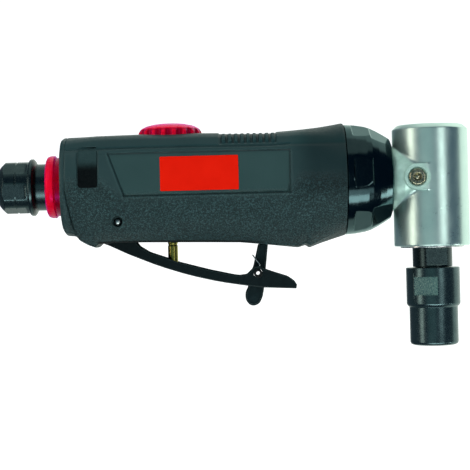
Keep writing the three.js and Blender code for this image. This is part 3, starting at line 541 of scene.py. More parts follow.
def aluminium_material():
    s = Shader("head_aluminium")
    x, y, z = s.xyz()
    fine = s.noise(700, 4, 0.6, s.scaled((1.0, 1.0, 9.0)))
    blotch = s.noise(130, 4, 0.6)
    # the neck is left as cast, the barrel is turned and brushed
    bx = s.math("SUBTRACT", x, 0.0816 - 0.00628)
    boss = s.math("SQRT", s.math("ADD", s.math("MULTIPLY", bx, bx), s.math("MULTIPLY", z, z)))
    boss = s.math("MULTIPLY", s.span(boss, 0.0049, 0.0044), s.span(y, -0.0070, -0.0090))
    hx = s.math("SUBTRACT", x, 0.0816)
    out = s.math("SQRT", s.math("ADD", s.math("MULTIPLY", hx, hx), s.math("MULTIPLY", y, y)))
    cast = s.math("MAXIMUM", s.span(out, 0.01355, 0.01430), boss)
    base = s.ramp(blotch, [(0.25, (0.53, 0.70, 0.655)), (0.75, (0.65, 0.82, 0.76))])
    skin = s.ramp(s.noise(420, 3, 0.6), [(0.3, (0.42, 0.62, 0.54)), (0.7, (0.56, 0.78, 0.69))])
    s.link(s.mix(cast, base, skin), "Base Color")
    s.link(s.math("SUBTRACT", s.span(hx, 0.0010, 0.0060, 0.88, 0.98), s.math("MULTIPLY", cast, 0.44)), "Metallic")
    rough = s.math("ADD", s.span(fine, 0.3, 0.7, 0.0, 0.08), s.span(blotch, 0.3, 0.7, 0.26, 0.32))
    s.link(s.math("ADD", rough, s.math("MULTIPLY", cast, 0.10)), "Roughness")
    s.bump((fine, 0.05, 0.00004), (s.noise(2600, 3, 0.6), 0.08, 0.00004))
    return s.m


def steel_material():
    s = Shader("bright_steel").set(Metallic=1.0)
    n = s.noise(500, 4, 0.6)
    s.link(s.ramp(n, [(0.3, (0.50, 0.52, 0.52)), (0.7, (0.66, 0.68, 0.68))]), "Base Color")
    s.link(s.span(s.noise(1500, 3, 0.6), 0.3, 0.7, 0.2, 0.34), "Roughness")
    s.bump((s.noise(3000, 3, 0.6), 0.08, 0.00004))
    return s.m


def brass_material(name="brass", lo=(0.13, 0.115, 0.022), hi=(0.26, 0.235, 0.055), rough=0.30):
    s = Shader(name).set(Metallic=1.0)
    n = s.noise(420, 4, 0.6, s.scaled((1.0, 1.0, 0.25)))
    s.link(s.ramp(n, [(0.3, lo), (0.7, hi)]), "Base Color")
    s.link(s.span(s.noise(1500, 3, 0.6), 0.3, 0.7, rough - 0.06, rough + 0.08), "Roughness")
    s.bump((s.noise(2600, 3, 0.6), 0.08, 0.00005))
    return s.m


def soft_material(name, lo, hi, rough, scale, strength):
    s = Shader(name).set(Specular_IOR_Level=0.25)
    n = s.noise(scale, 4, 0.65)
    s.link(s.ramp(n, [(0.3, lo), (0.7, hi)]), "Base Color")
    s.link(s.span(n, 0.3, 0.7, rough - 0.08, rough + 0.05), "Roughness")
    s.bump((n, strength, 0.0002))
    return s.m


MATS["grip_composite"] = grip_material()
MATS["red_plastic"] = red_material()
MATS["red_label"] = label_material("red_label", (0.755, 0.0080, 0.0008), (0.805, 0.0100, 0.0014), 0.5)
MATS["black_plate"] = plate_material()
MATS["black_oxide_steel"] = black_steel_material()
# painted light: the nut's copy of the black oxide steel is brighter and the spindle's darker, for how the light falls
# on them
NUT_STEEL = black_steel_material("black_oxide_nut", 1.5, True)
SPINDLE_STEEL = black_steel_material("black_oxide_spindle", 0.64)
MATS["black_gloss"] = black_gloss_material()
MATS["black_lever"] = lever_material()
MATS["head_aluminium"] = aluminium_material()
MATS["bright_steel"] = steel_material()
MATS["brass"] = brass_material()
MATS["rubber"] = soft_material("rubber", (0.010, 0.011, 0.012), (0.018, 0.019, 0.020), 0.75, 1800, 0.2)
MATS["felt"] = soft_material("felt", (0.25, 0.24, 0.21), (0.42, 0.41, 0.37), 0.93, 900, 0.8)
MATS["vane"] = soft_material("vane", (0.11, 0.060, 0.026), (0.19, 0.105, 0.050), 0.55, 700, 0.3)

# ------------------------------------------------------------------ camera, light and floor

cam = bpy.data.objects.new("camera", bpy.data.cameras.new("camera"))
bpy.context.scene.collection.objects.link(cam)
ROLL = D(1.45)
right = Vector((math.cos(ROLL), 0, -math.sin(ROLL)))
up = Vector((math.sin(ROLL), 0, math.cos(ROLL)))
back = Vector((0, -1, 0))
cam.matrix_world = Matrix.Translation(Vector((10.75, -508.0, -18.86)) * MM) @ Matrix((right, up, back)).transposed().to_4x4()
cam.data.sensor_width = 36
cam.data.lens = 108.08
cam.data.clip_start, cam.data.clip_end = 0.01, 20
bpy.context.scene.camera = cam
bpy.context.scene.view_settings.view_transform = "Standard"


def area_light(name, at, to, size, power, colour=(1, 1, 1)):
    data = bpy.data.lights.new(name, "AREA")
    data.shape = "RECTANGLE"
    data.size, data.size_y = size
    data.energy = power
    data.color = colour
    ob = bpy.data.objects.new(name, data)
    bpy.context.scene.collection.objects.link(ob)
    ob.location = at
    ob.rotation_mode = "QUATERNION"
    ob.rotation_quaternion = (Vector(to) - Vector(at)).to_track_quat("-Z", "Y")
    ob.visible_camera = False
    return ob


def around(azimuth, elevation, distance):
    """A place round the head's middle. Azimuth 0 is the photograph's side and 90 is the head's end."""
    a, e = D(azimuth), D(elevation)
    return Vector((math.sin(a) * math.cos(e), -math.cos(a) * math.cos(e), math.sin(e))) * distance + Vector((0.02, 0, -0.01))


mid = (0.02, 0.0, -0.01)


def panel(name, azimuth, elevation, distance, size, radiance, colour=(1, 1, 1)):
    """A soft panel of the radiance, facing the grinder."""
    return area_light(name, around(azimuth, elevation, distance), mid, size, radiance * math.pi * size[0] * size[1], colour)


def low_panel(name, elevation, height, radiance, colour):
    """A long panel in front of the grinder and below it."""
    away = 0.62 / math.cos(D(elevation))
    y, z = -0.62, mid[2] + 0.62 * math.tan(D(elevation))
    tall = 2 * away * math.tan(D(height / 2))
    return area_light(name, (0.14, y, z), (0.14, 0.0, mid[2]), (0.98, tall), radiance * math.pi * 0.98 * tall, colour)


low_panel("low_bright", -43.5, 15, 5.6, (0.94, 1.0, 0.96))
low_panel("low_soft", -29.5, 13, 1.5, (0.90, 1.0, 0.98))
panel("left_front", -66, 8, 1.1, (0.34, 0.95), 3.0, (1.0, 0.89, 0.75))
panel("front", -15, 1, 1.1, (0.82, 0.5), 0.32, (0.66, 1.0, 0.88))
panel("right_front", 31, 3, 1.1, (0.32, 0.26), 3.3, (0.96, 1.0, 0.95))
panel("low_spot", 79, -24, 1.1, (0.18, 0.24), 8.5, (0.95, 1.0, 0.93))
for fill in (panel("high_left", -42, 38, 1.1, (0.5, 0.5), 7.0, (0.92, 1.0, 0.97)), panel("high_right", 44, 40, 1.1, (0.4, 0.4), 4.0, (0.92, 1.0, 0.97))):
    fill.visible_glossy = False

world = bpy.data.worlds.new("studio")
bpy.context.scene.world = world
world.use_nodes = True
wt = world.node_tree
wt.nodes.clear()


def world_node(kind, inputs=None, **props):
    n = wt.nodes.new("ShaderNode" + kind)
    for k, v in props.items():
        setattr(n, k, v)
    for k, v in (inputs or {}).items():
        if isinstance(v, bpy.types.NodeSocket):
            wt.links.new(v, n.inputs[k])
        else:
            n.inputs[k].default_value = v
    return n


def world_span(v, a, b, c, d):
    return world_node("MapRange", {"Value": v, "From Min": a, "From Max": b, "To Min": c, "To Max": d}, interpolation_type="SMOOTHSTEP").outputs[0]


w_xyz = world_node("SeparateXYZ", {0: world_node("TexCoord").outputs["Generated"]}).outputs
w_side = world_span(w_xyz["X"], -0.45, -0.05, 0.10, 1.0)
w_side = world_node("Math", {0: w_side, 1: world_span(w_xyz["X"], 0.05, 0.5, 0.0, 0.18)}, operation="ADD").outputs[0]
w_back = world_node("Math", {0: world_span(w_xyz["Y"], 0.0, 0.14, 0.0, 1.0), 1: w_side}, operation="MULTIPLY").outputs[0]
w_top = world_span(w_xyz["Z"], 0.765, 0.82, 0.0, 0.47)
w_fac = world_node("Math", {0: w_back, 1: w_top}, operation="MAXIMUM").outputs[0]
w_mix = world_node("Mix", {0: w_fac}, data_type="RGBA", clamp_factor=False)
w_mix.inputs[6].default_value = (0.010, 0.046, 0.092, 1)
w_mix.inputs[7].default_value = (0.98, 1.08, 0.99, 1)
w_bg = world_node("Background", {"Color": w_mix.outputs[2], "Strength": 1.0})
w_out = world_node("OutputWorld", {0: w_bg.outputs[0]})

# one pale floor that curves up all round into the backdrop
floor_profile = [(-170, 0.0), (-170, 1300)]
floor_profile += [(-170 + 700 * (1 - math.cos(a)), 1300 + 700 * math.sin(a)) for a in np.linspace(0.08, math.pi / 2, 14)]
floor_profile += [(2600, 2000)]
fv, ff, N = [(0, 0, -170)], [], 96
for h, r in floor_profile[1:]:
    fv += [(r * math.cos(2 * math.pi * k / N), r * math.sin(2 * math.pi * k / N), h) for k in range(N)]
for k in range(N):
    ff.append((0, 1 + k, 1 + (k + 1) % N))
for row in range(len(floor_profile) - 2):
    for k in range(N):
        j = (k + 1) % N
        ff.append((1 + row * N + k, 1 + row * N + j, 1 + (row + 1) * N + j, 1 + (row + 1) * N + k))
floor = new_object("floor", fv, ff)
for p in floor.data.polygons:
    p.use_smooth = True
fs = Shader("pale_floor").set(Base_Color=(0.55, 0.55, 0.55, 1), Roughness=0.95, Specular_IOR_Level=0.0, Emission_Color=(1, 1, 1, 1), Emission_Strength=0.97)
floor.data.materials.append(fs.m)
floor.visible_glossy = floor.visible_diffuse = floor.visible_shadow = floor.visible_transmission = False

# ------------------------------------------------------------------ grip housing

STATIONS = np.array([
    (-50.0, 16.75, -15.8, 17.0, 0.5), (-49.3, 17.45, -17.7, 17.6, 0.45), (-46.1, 17.53, -18.0, 17.8, 0.4), (-44.4, 17.53, -19.8, 17.9, 0.3),
    (-41.5, 17.54, -21.35, 18.0, 0.2), (-38.7, 17.55, -22.3, 18.2, 0.1), (-37.5, 17.56, -20.9, 18.3, 0.05), (-30.0, 17.6, -20.5, 18.5, 0),
    (-20.0, 17.75, -20.7, 18.5, 0), (-2.0, 17.7, -21.1, 18.5, 0), (12.5, 17.4, -21.5, 18.5, 0), (23.3, 17.35, -22.7, 18.7, 0.05),
    (33.3, 18.2, -23.9, 19.1, 0.25), (35.9, 18.45, -23.1, 19.2, 0.35), (37.3, 18.6, -24.05, 19.3, 0.4), (41.3, 19.0, -22.6, 19.5, 0.6),
    (46.7, 19.8, -20.9, 19.9, 0.9), (49.75, 20.35, -20.0, 20.15, 1), (50.15, 20.1, -19.8, 19.9, 1),
])
HALF_SECTION = [  # at half width 18.5, top 17.6 and bottom -20.7
    (0, 17.6), (8.0, 17.5), (11.8, 16.9), (14.3, 15.7), (16.9, 12.9), (17.3, 12.2), (17.75, 11.7), (18.05, 10.2), (18.5, 3.0), (18.5, -3.0),
    (18.25, -8.2), (17.3, -13.0), (15.2, -16.9), (12.6, -19.15), (11.6, -19.75), (11.0, -20.1), (10.6, -20.7), (0, -20.7),
]
SEAM = [(-48.3, -1.8), (-47.8, -4.8), (-47.2, -8.2), (-46.5, -12.2), (-45.9, -15.2), (-45.4, -17.3), (-44.7, -19.6)]
PANEL = [(-33.0, 10.6), (-27.5, -4.6), (30.3, -4.3), (30.7, 10.6)]
TILT = D(2.6)


def plane_y(depth, z):
    """Half width of a face that leans in towards the top."""
    return depth - z * math.tan(TILT)


def badge_y(x, z):
    """Half width of the floor under the rear plate."""
    return 17.35 - (z - 5.45) * math.tan(D(5.2)) + (x + 40.05) * math.tan(D(5.7))


def station(x):
    xs = np.arange(-54, 54.01, 0.05)
    k = np.exp(-0.5 * (np.arange(-24, 25) * 0.05 / 0.28) ** 2)
    k /= k.sum()
    out = []
    for c in range(1, 5):
        v = np.interp(xs, STATIONS[:, 0], STATIONS[:, c])
        v = np.convolve(np.pad(v, 24, mode="edge"), k, "valid")
        out.append(np.interp(x, xs, v))
    return out


def resample(poly, spacing):
    """A polyline at the spacing(z) wanted along it."""
    p = np.array(poly, dtype=float)
    seg = np.linalg.norm(np.diff(p, axis=0), axis=1)
    s = np.concatenate([[0], np.cumsum(seg)])
    fine = np.linspace(0, s[-1], 4000)
    y, z = np.interp(fine, s, p[:, 0]), np.interp(fine, s, p[:, 1])
    density = 1 / np.array([spacing(a, b) for a, b in zip(y, z)])
    acc = np.concatenate([[0], np.cumsum((density[1:] + density[:-1]) / 2 * np.diff(fine))])
    n = int(round(acc[-1]))
    at = np.interp(np.linspace(0, acc[-1], n + 1), acc, fine)
    return np.stack([np.interp(at, s, p[:, 0]), np.interp(at, s, p[:, 1])], 1)


def spacing(y, z):
    if z > 17.0:
        return 0.9
    if z > 12.6:
        return 0.36
    if z > 9.6:
        return 0.2
    if z > -3.6:
        return 0.45
    if z > -5.6:
        return 0.2
    if z > -18.6:
        return 0.75
    if y > 9.8:
        return 0.22
    return 1.4


def seg_distance(x, z, pts):
    best = np.full(np.broadcast(x, z).shape, 1e9)
    for (ax, az), (bx, bz) in zip(pts, pts[1:]):
        dx, dz = bx - ax, bz - az
        t = np.clip(((x - ax) * dx + (z - az) * dz) / (dx * dx + dz * dz), 0, 1)
        best = np.minimum(best, np.hypot(x - ax - t * dx, z - az - t * dz))
    return best


def poly_inside(x, z, pts):
    """Distance inside a convex outline, negative outside."""
    best = np.full(np.broadcast(x, z).shape, 1e9)
    c = np.mean(pts, axis=0)
    n = len(pts)
    for i in range(n):
        (ax, az), (bx, bz) = pts[i], pts[(i + 1) % n]
        dx, dz = bx - ax, bz - az
        l = math.hypot(dx, dz)
        d = ((x - ax) * dz - (z - az) * dx) / l
        dc = ((c[0] - ax) * dz - (c[1] - az) * dx) / l
        best = np.minimum(best, d * (1 if dc > 0 else -1))
    return best


def housing_skin():
    half = resample(fillet(HALF_SECTION, [0, 6, 5, 4, 0.5, 0.3, 0.3, 2, 10, 10, 10, 8, 6, 1.2, 0.5, 0.2, 0.2, 0], closed=False, seg=10), spacing)
    ring = np.concatenate([half * (-1, 1), half[-2:0:-1]])  # down the labelled side, and up the other
    xs = np.concatenate([
        np.arange(-50.0, -48.8, 0.12), np.arange(-48.8, -44.0, 0.2), np.arange(-44.0, -36.0, 0.24), np.arange(-36.0, -26.6, 0.24),
        np.arange(-26.6, 5.4, 0.5), np.arange(5.4, 26.7, 0.22), np.arange(26.7, 29.8, 0.4), np.arange(29.8, 31.6, 0.2), np.arange(31.6, 49.0, 0.36),
        np.arange(49.0, 50.14, 0.12), [50.15]])
    top, bottom, width, rnd = station(xs)
    X = xs[:, None] + 0 * ring[None, :, 0]
    y0, z0 = ring[None, :, 0] / 18.5, ring[None, :, 1]
    Y = y0 * width[:, None]
    Z = np.where(z0 > 0, z0 / 17.6 * top[:, None], z0 / 20.7 * -bottom[:, None])
    ang = np.arctan2(Z, np.abs(Y))
    c0, r0 = (top + bottom)[:, None] / 2, (top - bottom)[:, None] / 2
    CY = width[:, None] * np.cos(ang) * np.sign(Y)
    CZ = c0 * np.abs(np.sin(ang)) + r0 * np.sin(ang)
    r = rnd[:, None]
    Y, Z = Y + (CY - Y) * r, Z + (CZ - Z) * r

    # outward normals in the plane of each ring
    dY = np.roll(Y, -1, axis=1) - np.roll(Y, 1, axis=1)
    dZ = np.roll(Z, -1, axis=1) - np.roll(Z, 1, axis=1)
    l = np.hypot(dY, dZ)
    NY, NZ = dZ / l, -dY / l
    flip = np.sign(np.sum(NY * Y + NZ * Z))
    NY, NZ = NY * flip, NZ * flip

    side = np.abs(NY)
    push = np.zeros_like(Y)
    near = Y < 0  # the labelled side
    # line of the ledge under the upper bevel
    ledge = 12.25 * top[:, None] / 17.6
    along = sstep((X + 48.6) / 1.2) * sstep((31.4 - X) / 0.8)
    push -= 0.42 * np.exp(-((Z - ledge) / 0.24) ** 2) * along * (np.abs(Y) > 14)
    # the field of ribs on the upper bevel
    field = sstep((X - 5.9) / 0.4 + 0.5) * sstep((26.1 - X) / 0.4 + 0.5) * sstep((Z - 13.0) / 0.5 + 0.5)
    push -= 0.34 * field
    pitch, first, count = 2.16, 7.6, 9
    k = np.clip(np.round((X - first) / pitch), 0, count - 1)
    off = np.abs(X - first - k * pitch)
    rib = sstep((0.62 - off) / 0.3 + 0.5) * sstep((Z - 13.75) / 0.35 + 0.5) * sstep((16.75 - Z) / 0.35 + 0.5)
    push += 0.62 * rib * (np.abs(Y) > 9) * near
    # seam of the rear cover
    seam = seg_distance(X, Z, [(-48.3, 30), *SEAM, (-44.4, -24)])
    push -= (0.22 + 0.40 * sstep((2.0 - Z) / 5)) * np.exp(-(seam / 0.26) ** 2)
    # lip beside the panel, and a crease along its lower edge
    inside = poly_inside(X, Z, PANEL)
    low = (np.abs(Z + 4.6) < 3) & (X > -28.2) & (X < 31)
    push += 0.17 * np.exp(-((inside + 0.55) / 0.36) ** 2) * (side > 0.8) * (Z < 9.9)
    Y = Y + NY * push
    Z = Z + NZ * push
    # the panel and the plate's pocket are flat
    m = sstep(inside / 0.28 + 0.5) * (side > 0.7)
    flat = plane_y(18.0, Z)
    Y = np.where(np.abs(Y) > flat, Y + (np.sign(Y) * flat - Y) * m, Y)
    crease = np.exp(-((inside - 0.28) / 0.22) ** 2) * low * (side > 0.7)
    Y = Y - np.sign(Y) * 0.42 * crease
    pocket = poly_inside(X, Z, [(-43.75, -1.45), (-36.35, -1.45), (-36.35, 12.9), (-43.75, 12.9)])
    m = sstep(pocket / 0.26 + 0.5) * near
    flat = badge_y(X, Z) - 0.5 * sstep((Z - 12.2) / 0.4)
    Y = np.where((np.abs(Y) > flat) & near, Y + (np.sign(Y) * flat - Y) * m, Y)

    nx, nr = X.shape
    verts = np.stack([X, Y, Z], 2).reshape(-1, 3)
    a = np.arange(nx - 1)[:, None] * nr + np.arange(nr)[None, :]
    b = np.arange(nx - 1)[:, None] * nr + (np.arange(nr)[None, :] + 1) % nr
    faces = np.stack([a, b, b + nr, a + nr], 2).reshape(-1, 4).tolist()
    faces.append(list(range(nr))[::-1])
    faces.append(list(range((nx - 1) * nr, nx * nr)))
    ob = new_object("housing_skin", verts, faces)
    return outward(ob)


def behind_seam(shift):
    pts = [(SEAM[0][0] + shift, 24)] + [(x + shift, z) for x, z in SEAM] + [(SEAM[-1][0] + shift, -26), (-54, -26), (-54, 24)]
    return prism("tool", pts, -24, 24, 0)


VX, LP = -11.7, (-30.08, -13.24)
skin = housing_skin()
cover = copy_of(skin, "rear_cover_shell")
housing = boolean(skin, [
    behind_seam(0.12),
    box("tool", -43.2, -36.9, -19, -15.4, 12.45, 13.1),
    rod("x", 0.6, 52, 15.55), rod("x", 43.6, 52, 17.45), rod("x", -53, -43.7, 14.5), rod("x", -53, -36.7, 8.4), rod("x", -37.5, -12, 3.2),
    rod("z", -3.2, 19, 6.6, (VX, 0, 0)), rod("z", -17.3, 0, 5.85, (VX, 0, 0)), rod("z", -24, -10, 2.15, (VX, 0, 0)),
    lathe("tool", "z", [(15.2, 0), (15.2, 11.65), (16.9, 11.65), (17.5, 12.1), (26, 12.1), (26, 0)], 96, (VX, 0, 0)),
    box("tool", -37.4, -20.5, -5.3, 5.3, -26, -9.6),
    rod("y", -22, 22, 1.45, (LP[0], 0, LP[1])),
    lathe("tool", "y", [(-24, 0), (-24, 2.3), (-17.5, 2.15), (-17.1, 1.9), (-14.9, 1.9), (-14.9, 0)], 48, (LP[0], 0, LP[1])),
    lathe("tool", "y", [(14.9, 0), (14.9, 1.9), (17.1, 1.9), (17.5, 2.15), (24, 2.3), (24, 0)], 48, (LP[0], 0, LP[1])),
    box("tool", 9.6, 25.2, -3.6, 4.2, -26, -17.85),
])
housing.name = "housing_shell"
put(housing, "handle", "grip_composite", MATS["grip_composite"], "housing", angle=50)

boolean(cover, [behind_seam(0)], "INTERSECT")
boolean(cover, [rod("x", -48.4, -40, 14.3), rod("x", -54, -40, 8.75)])
boolean(cover, [rod("x", -54, -40, 1.35, (0, 11.3 * math.cos(D(30 + 60 * i)), 11.3 * math.sin(D(30 + 60 * i))), 24) for i in range(6)])
put(cover, "handle", "grip_composite", MATS["grip_composite"], "rear_cover", angle=50)


def plate(name, x0, x1, z0, z1, r, side, thick, bevel):
    """A thin plate on the leaning side; side(x, z) is where its inner face lies."""
    corners = fillet([(x0, z0), (x1, z0), (x1, z1), (x0, z1)], r, seg=8)
    ob = prism(name, corners, -thick, 0, bevel, 2)
    me = ob.data
    co = np.empty(len(me.vertices) * 3)
    me.vertices.foreach_get("co", co)
    co = co.reshape(-1, 3)
    co[:, 1] -= side(co[:, 0] / MM, co[:, 2] / MM) * MM
    me.vertices.foreach_set("co", co.ravel())
    me.update()
    return ob


label = plate("side_label_film", -14.8, 12.5, -3.0, 9.0, 0.35, lambda x, z: plane_y(18.03, z), 0.16, 0.05)
put(label, "handle", "red_label", MATS["red_label"], "side_label")
badge = plate("rear_plate_film", -43.45, -36.65, -1.2, 12.05, 0.95, lambda x, z: badge_y(x, z) + 0.03, 0.26, 0.1)
put(badge, "handle", "black_plate", MATS["black_plate"], "rear_plate")

# ------------------------------------------------------------------ air inlet and exhaust ring

inlet_profile = fillet([
    (-73.35, 5.95), (-73.35, 6.55), (-72.3, 7.9), (-70.9, 9.22), (-67.15, 9.22), (-67.0, 8.96), (-66.65, 8.96), (-66.5, 9.22), (-62.35, 9.22), (-62.2, 9.9),
    (-61.75, 10.2), (-60.85, 10.2), (-60.2, 9.4), (-59.7, 8.35), (-56.0, 8.35)],
    [0.1, 0.25, 0.4, 0.35, 0.05, 0.05, 0.05, 0.05, 0.1, 0.2, 0.25, 0.3, 0.3, 0.35, 0], closed=False, seg=6)
inlet_profile = finely(inlet_profile, 0.22) + [(-44.0, 8.35), (-44.0, 8.0), (-37.2, 8.0), (-37.2, 4.6), (-59.0, 4.6), (-59.0, 5.9)]
# the tapered pipe thread's crests inside the bore
pitch = 1.337
crests = []
h = -60.0
while h > -72.4:
    crests += [(h, 6.0), (h - pitch * 0.5, 5.55), (h - pitch, 6.0)]
    h -= pitch
inlet_profile += crests
FLAT_X, FLAT_D = [-72.0, -71.75, -71.45, -71.2, -63.7, -63.35, -63.0, -62.7, -62.4], [9.6, 9.05, 8.8, 8.73, 8.73, 8.78, 8.92, 9.15, 9.6]


def hexagon_radius(h, r, a):
    if r < 8.5 or h > -62.36 or h < -72.0:
        return r
    step = math.pi / 3
    d = (a - D(-90 - 10.9) + step / 2) % step - step / 2
    return soft_min(r, float(np.interp(h, FLAT_X, FLAT_D)) / math.cos(d), 0.05)


inlet = lathe("air_inlet_bush", "x", inlet_profile, 288, radius=hexagon_radius)
put(inlet, "handle", "black_oxide_steel", MATS["black_oxide_steel"], "air_inlet", angle=30)

ring_profile = fillet([(-56.15, 8.7), (-56.15, 9.8), (-55.6, 10.8), (-54.4, 11.2), (-53.1, 11.2), (-52.6, 10.5), (-50.35, 10.4), (-50.35, 8.7)],
                      [0.2, 0.6, 0.9, 1.2, 0.35, 0.25, 0.15, 0.1], seg=7)
ring = lathe("exhaust_ring_body", "x", ring_profile, 144)
boolean(ring, [turn(box("tool", -58, -50, -1.3, 1.3, 9.1, 9.9), "X", 30 + 60 * i) for i in range(6)])
put(ring, "handle", "red_plastic", MATS["red_plastic"], "exhaust_ring")

# ------------------------------------------------------------------ regulator knob


def knob_radius(h, r, a):
    if r < 6:
        return r
    n, rc, rho = 18, 11.95, 1.55
    step = 2 * math.pi / n
    d = (a + step / 2) % step - step / 2
    s = rc * math.sin(d)
    if abs(s) >= rho:
        return r
    flute = rc * math.cos(d) - math.sqrt(rho * rho - s * s)
    k = 0.22  # softens the flute's edges
    t = min(max(0.5 + 0.5 * (r - flute) / k, 0), 1)
    return r * (1 - t) + flute * t - k * t * (1 - t)


knob_profile = fillet([(15.45, 3.4), (15.45, 11.3), (18.55, 11.3), (19.75, 10.5), (20.8, 8.6), (21.5, 5.4), (21.75, 0.0)],
                      [0.1, 0.35, 0.9, 1.4, 3.0, 6.0, 0], closed=False, seg=8)
knob = lathe("regulator_knob_body", "z", [(20.0, 0), (20.0, 3.4)] + finely(knob_profile, 0.45), 18 * 18, (VX, 0, 0), radius=knob_radius)
put(knob, "knob", "red_plastic", MATS["red_plastic"], "regulator_knob", angle=45)

# ------------------------------------------------------------------ throttle stem, lever and lock

stem = lathe("throttle_stem_rod", "z", fillet([(-29.3, 0), (-29.2, 0.9), (-28.2, 1.8), (-22.3, 1.8), (-22.0, 1.62), (-21.6, 1.62), (-21.3, 1.8), (-8.9, 1.8), (-8.9, 1.2), (-3.0, 1.2), (-3.0, 0)],
             [0, 0.5, 0.6, 0.1, 0.1, 0.1, 0.1, 0.1, 0, 0, 0], closed=False, seg=5), 64, (VX, 0, 0))
put(stem, "valve", "brass", brass_material("brass_stem", (0.17, 0.155, 0.034), (0.36, 0.33, 0.085), 0.30), "throttle_stem")

LOWER = [(-36.47, -20.73), (-34.33, -21.5), (-27.21, -24.92), (-16.52, -29.34), (-5.8, -32.85), (4.93, -35.46), (13.9, -36.95), (20.0, -37.82), (32.22, -38.49)]
UPPER = [(32.44, -37.06), (31.58, -35.6), (29.45, -34.1), (24.81, -32.54), (21.6, -31.38), (19.6, -30.2), (17.6, -30.2), (16.3, -31.5), (14.72, -33.01),
         (12.19, -33.3), (10.39, -33.08), (1.44, -31.05), (-5.71, -29.07), (-10.0, -27.88), (-13.92, -26.34), (-19.99, -24.21), (-23.53, -21.96), (-24.58, -20.49),
         (-25.4, -17.0), (-26.6, -12.6), (-28.2, -10.6), (-30.1, -10.0), (-32.0, -10.6), (-33.4, -12.6), (-35.2, -17.0)]
outline = fillet(LOWER + UPPER, [1.0, 8, 40, 60, 60, 60, 60, 20, 0.3] + [0.5, 2.0, 3, 8, 4, 0.8, 0.8, 1.5, 1.6, 1.6, 4, 30, 30, 20, 8, 4, 2.2, 2.0, 8, 3, 2, 3, 2, 3, 8], seg=8)
lever = prism("throttle_lever_body", outline, -4.8, 4.8, 0.32, 3)
W = 1.3
inner = []
for i, (px, pz) in enumerate(LOWER):
    ax, az = LOWER[max(i - 1, 0)]
    bx, bz = LOWER[min(i + 1, len(LOWER) - 1)]
    l = math.hypot(bx - ax, bz - az)
    inner.append((px - (bz - az) / l * W, pz + (bx - ax) / l * W))
inner[0] = (-40, -19.0)
inner[-1] = (36, inner[-1][1])
hollow = prism("tool", fillet(inner + [(36, -5), (-40, -5)], [0, 5, 30, 60, 60, 60, 60, 20, 0, 0, 0], seg=8), -4.8 + W, 4.8 - W, 0)
LX, LZ = 18.69, -32.75
boolean(lever, [hollow, box("tool", 13.4, 31, -3.4, 3.4, -40, -35), rod("y", -6, 6, 1.4, (LP[0], 0, LP[1])), rod("y", -6, 6, 1.62, (LX, 0, LZ))])
put(lever, "lever", "black_lever", MATS["black_lever"], "throttle_lever", angle=40)

pin = lathe("lever_pin_rod", "y", fillet([(-15.75, 0), (-15.55, 0.75), (-15.1, 1.15), (15.1, 1.15), (15.55, 0.75), (15.75, 0)], [0, 0.5, 0.25, 0.25, 0.5, 0], closed=False, seg=5), 48, (LP[0], 0, LP[1]))
PIN_STEEL = brass_material("pin_steel", (0.38, 0.43, 0.43), (0.58, 0.63, 0.63), 0.36)
put(pin, "handle", "bright_steel", PIN_STEEL, "lever_pin")

lock_pin = lathe("lock_pin_tube", "y", fillet([(-4.95, 0.72), (-4.95, 1.5), (4.95, 1.5), (4.95, 0.72)], 0.14, seg=4), 48, (LX, 0, LZ))
PIN_BLACK = soft_material("pin_black", (0.0012, 0.0020, 0.0024), (0.0030, 0.0048, 0.0055), 0.55, 900, 0.1)
put(lock_pin, "lever", "black_lever", PIN_BLACK, "lock_pin")

LOCK = [(18.95, -22.32), (17.85, -26.98), (17.05, -30.2), (16.2, -32.2), (15.8, -34.6), (15.4, -36.4), (14.95, -37.7), (14.0, -39.6), (13.95, -42.1),
        (15.25, -44.05), (16.96, -44.55), (19.0, -43.75), (20.15, -41.3), (20.85, -37.84), (21.1, -35.0), (21.5, -31.38), (22.55, -22.22)]
lock = prism("lock_lever_plate", fillet(LOCK, [0.4, 20, 6, 6, 10, 8, 3, 3, 3, 3, 2.5, 3, 4, 20, 20, 20, 0.4], seg=8), -1.4, 3.2, 0.6, 4)
boolean(lock, [rod("y", -6, 6, 1.62, (LX, 0, LZ))])
put(lock, "lock", "black_lever", lever_material("black_lock", 2.2), "lock_lever", angle=40)


def tube(name, points, radius, sides=12):
    """A round wire through the points, closed at both ends."""
    cu = bpy.data.curves.new(name, "CURVE")
    cu.dimensions = "3D"
    sp = cu.splines.new("NURBS")
    sp.points.add(len(points) - 1)
    for q, p in zip(sp.points, points):
        q.co = (p[0] * MM, p[1] * MM, p[2] * MM, 1)
    sp.order_u, sp.use_endpoint_u, sp.resolution_u = 3, True, 4
    cu.bevel_depth, cu.bevel_resolution, cu.use_fill_caps = radius * MM, max(2, sides // 4), True
    ob = bpy.data.objects.new(name + "_curve", cu)
    bpy.context.scene.collection.objects.link(ob)
    bpy.context.view_layer.update()
    me = bpy.data.meshes.new_from_object(ob.evaluated_get(bpy.context.evaluated_depsgraph_get()))
    bpy.data.objects.remove(ob)
    out = bpy.data.objects.new(name, me)
    bpy.context.scene.collection.objects.link(out)
    return outward(out)


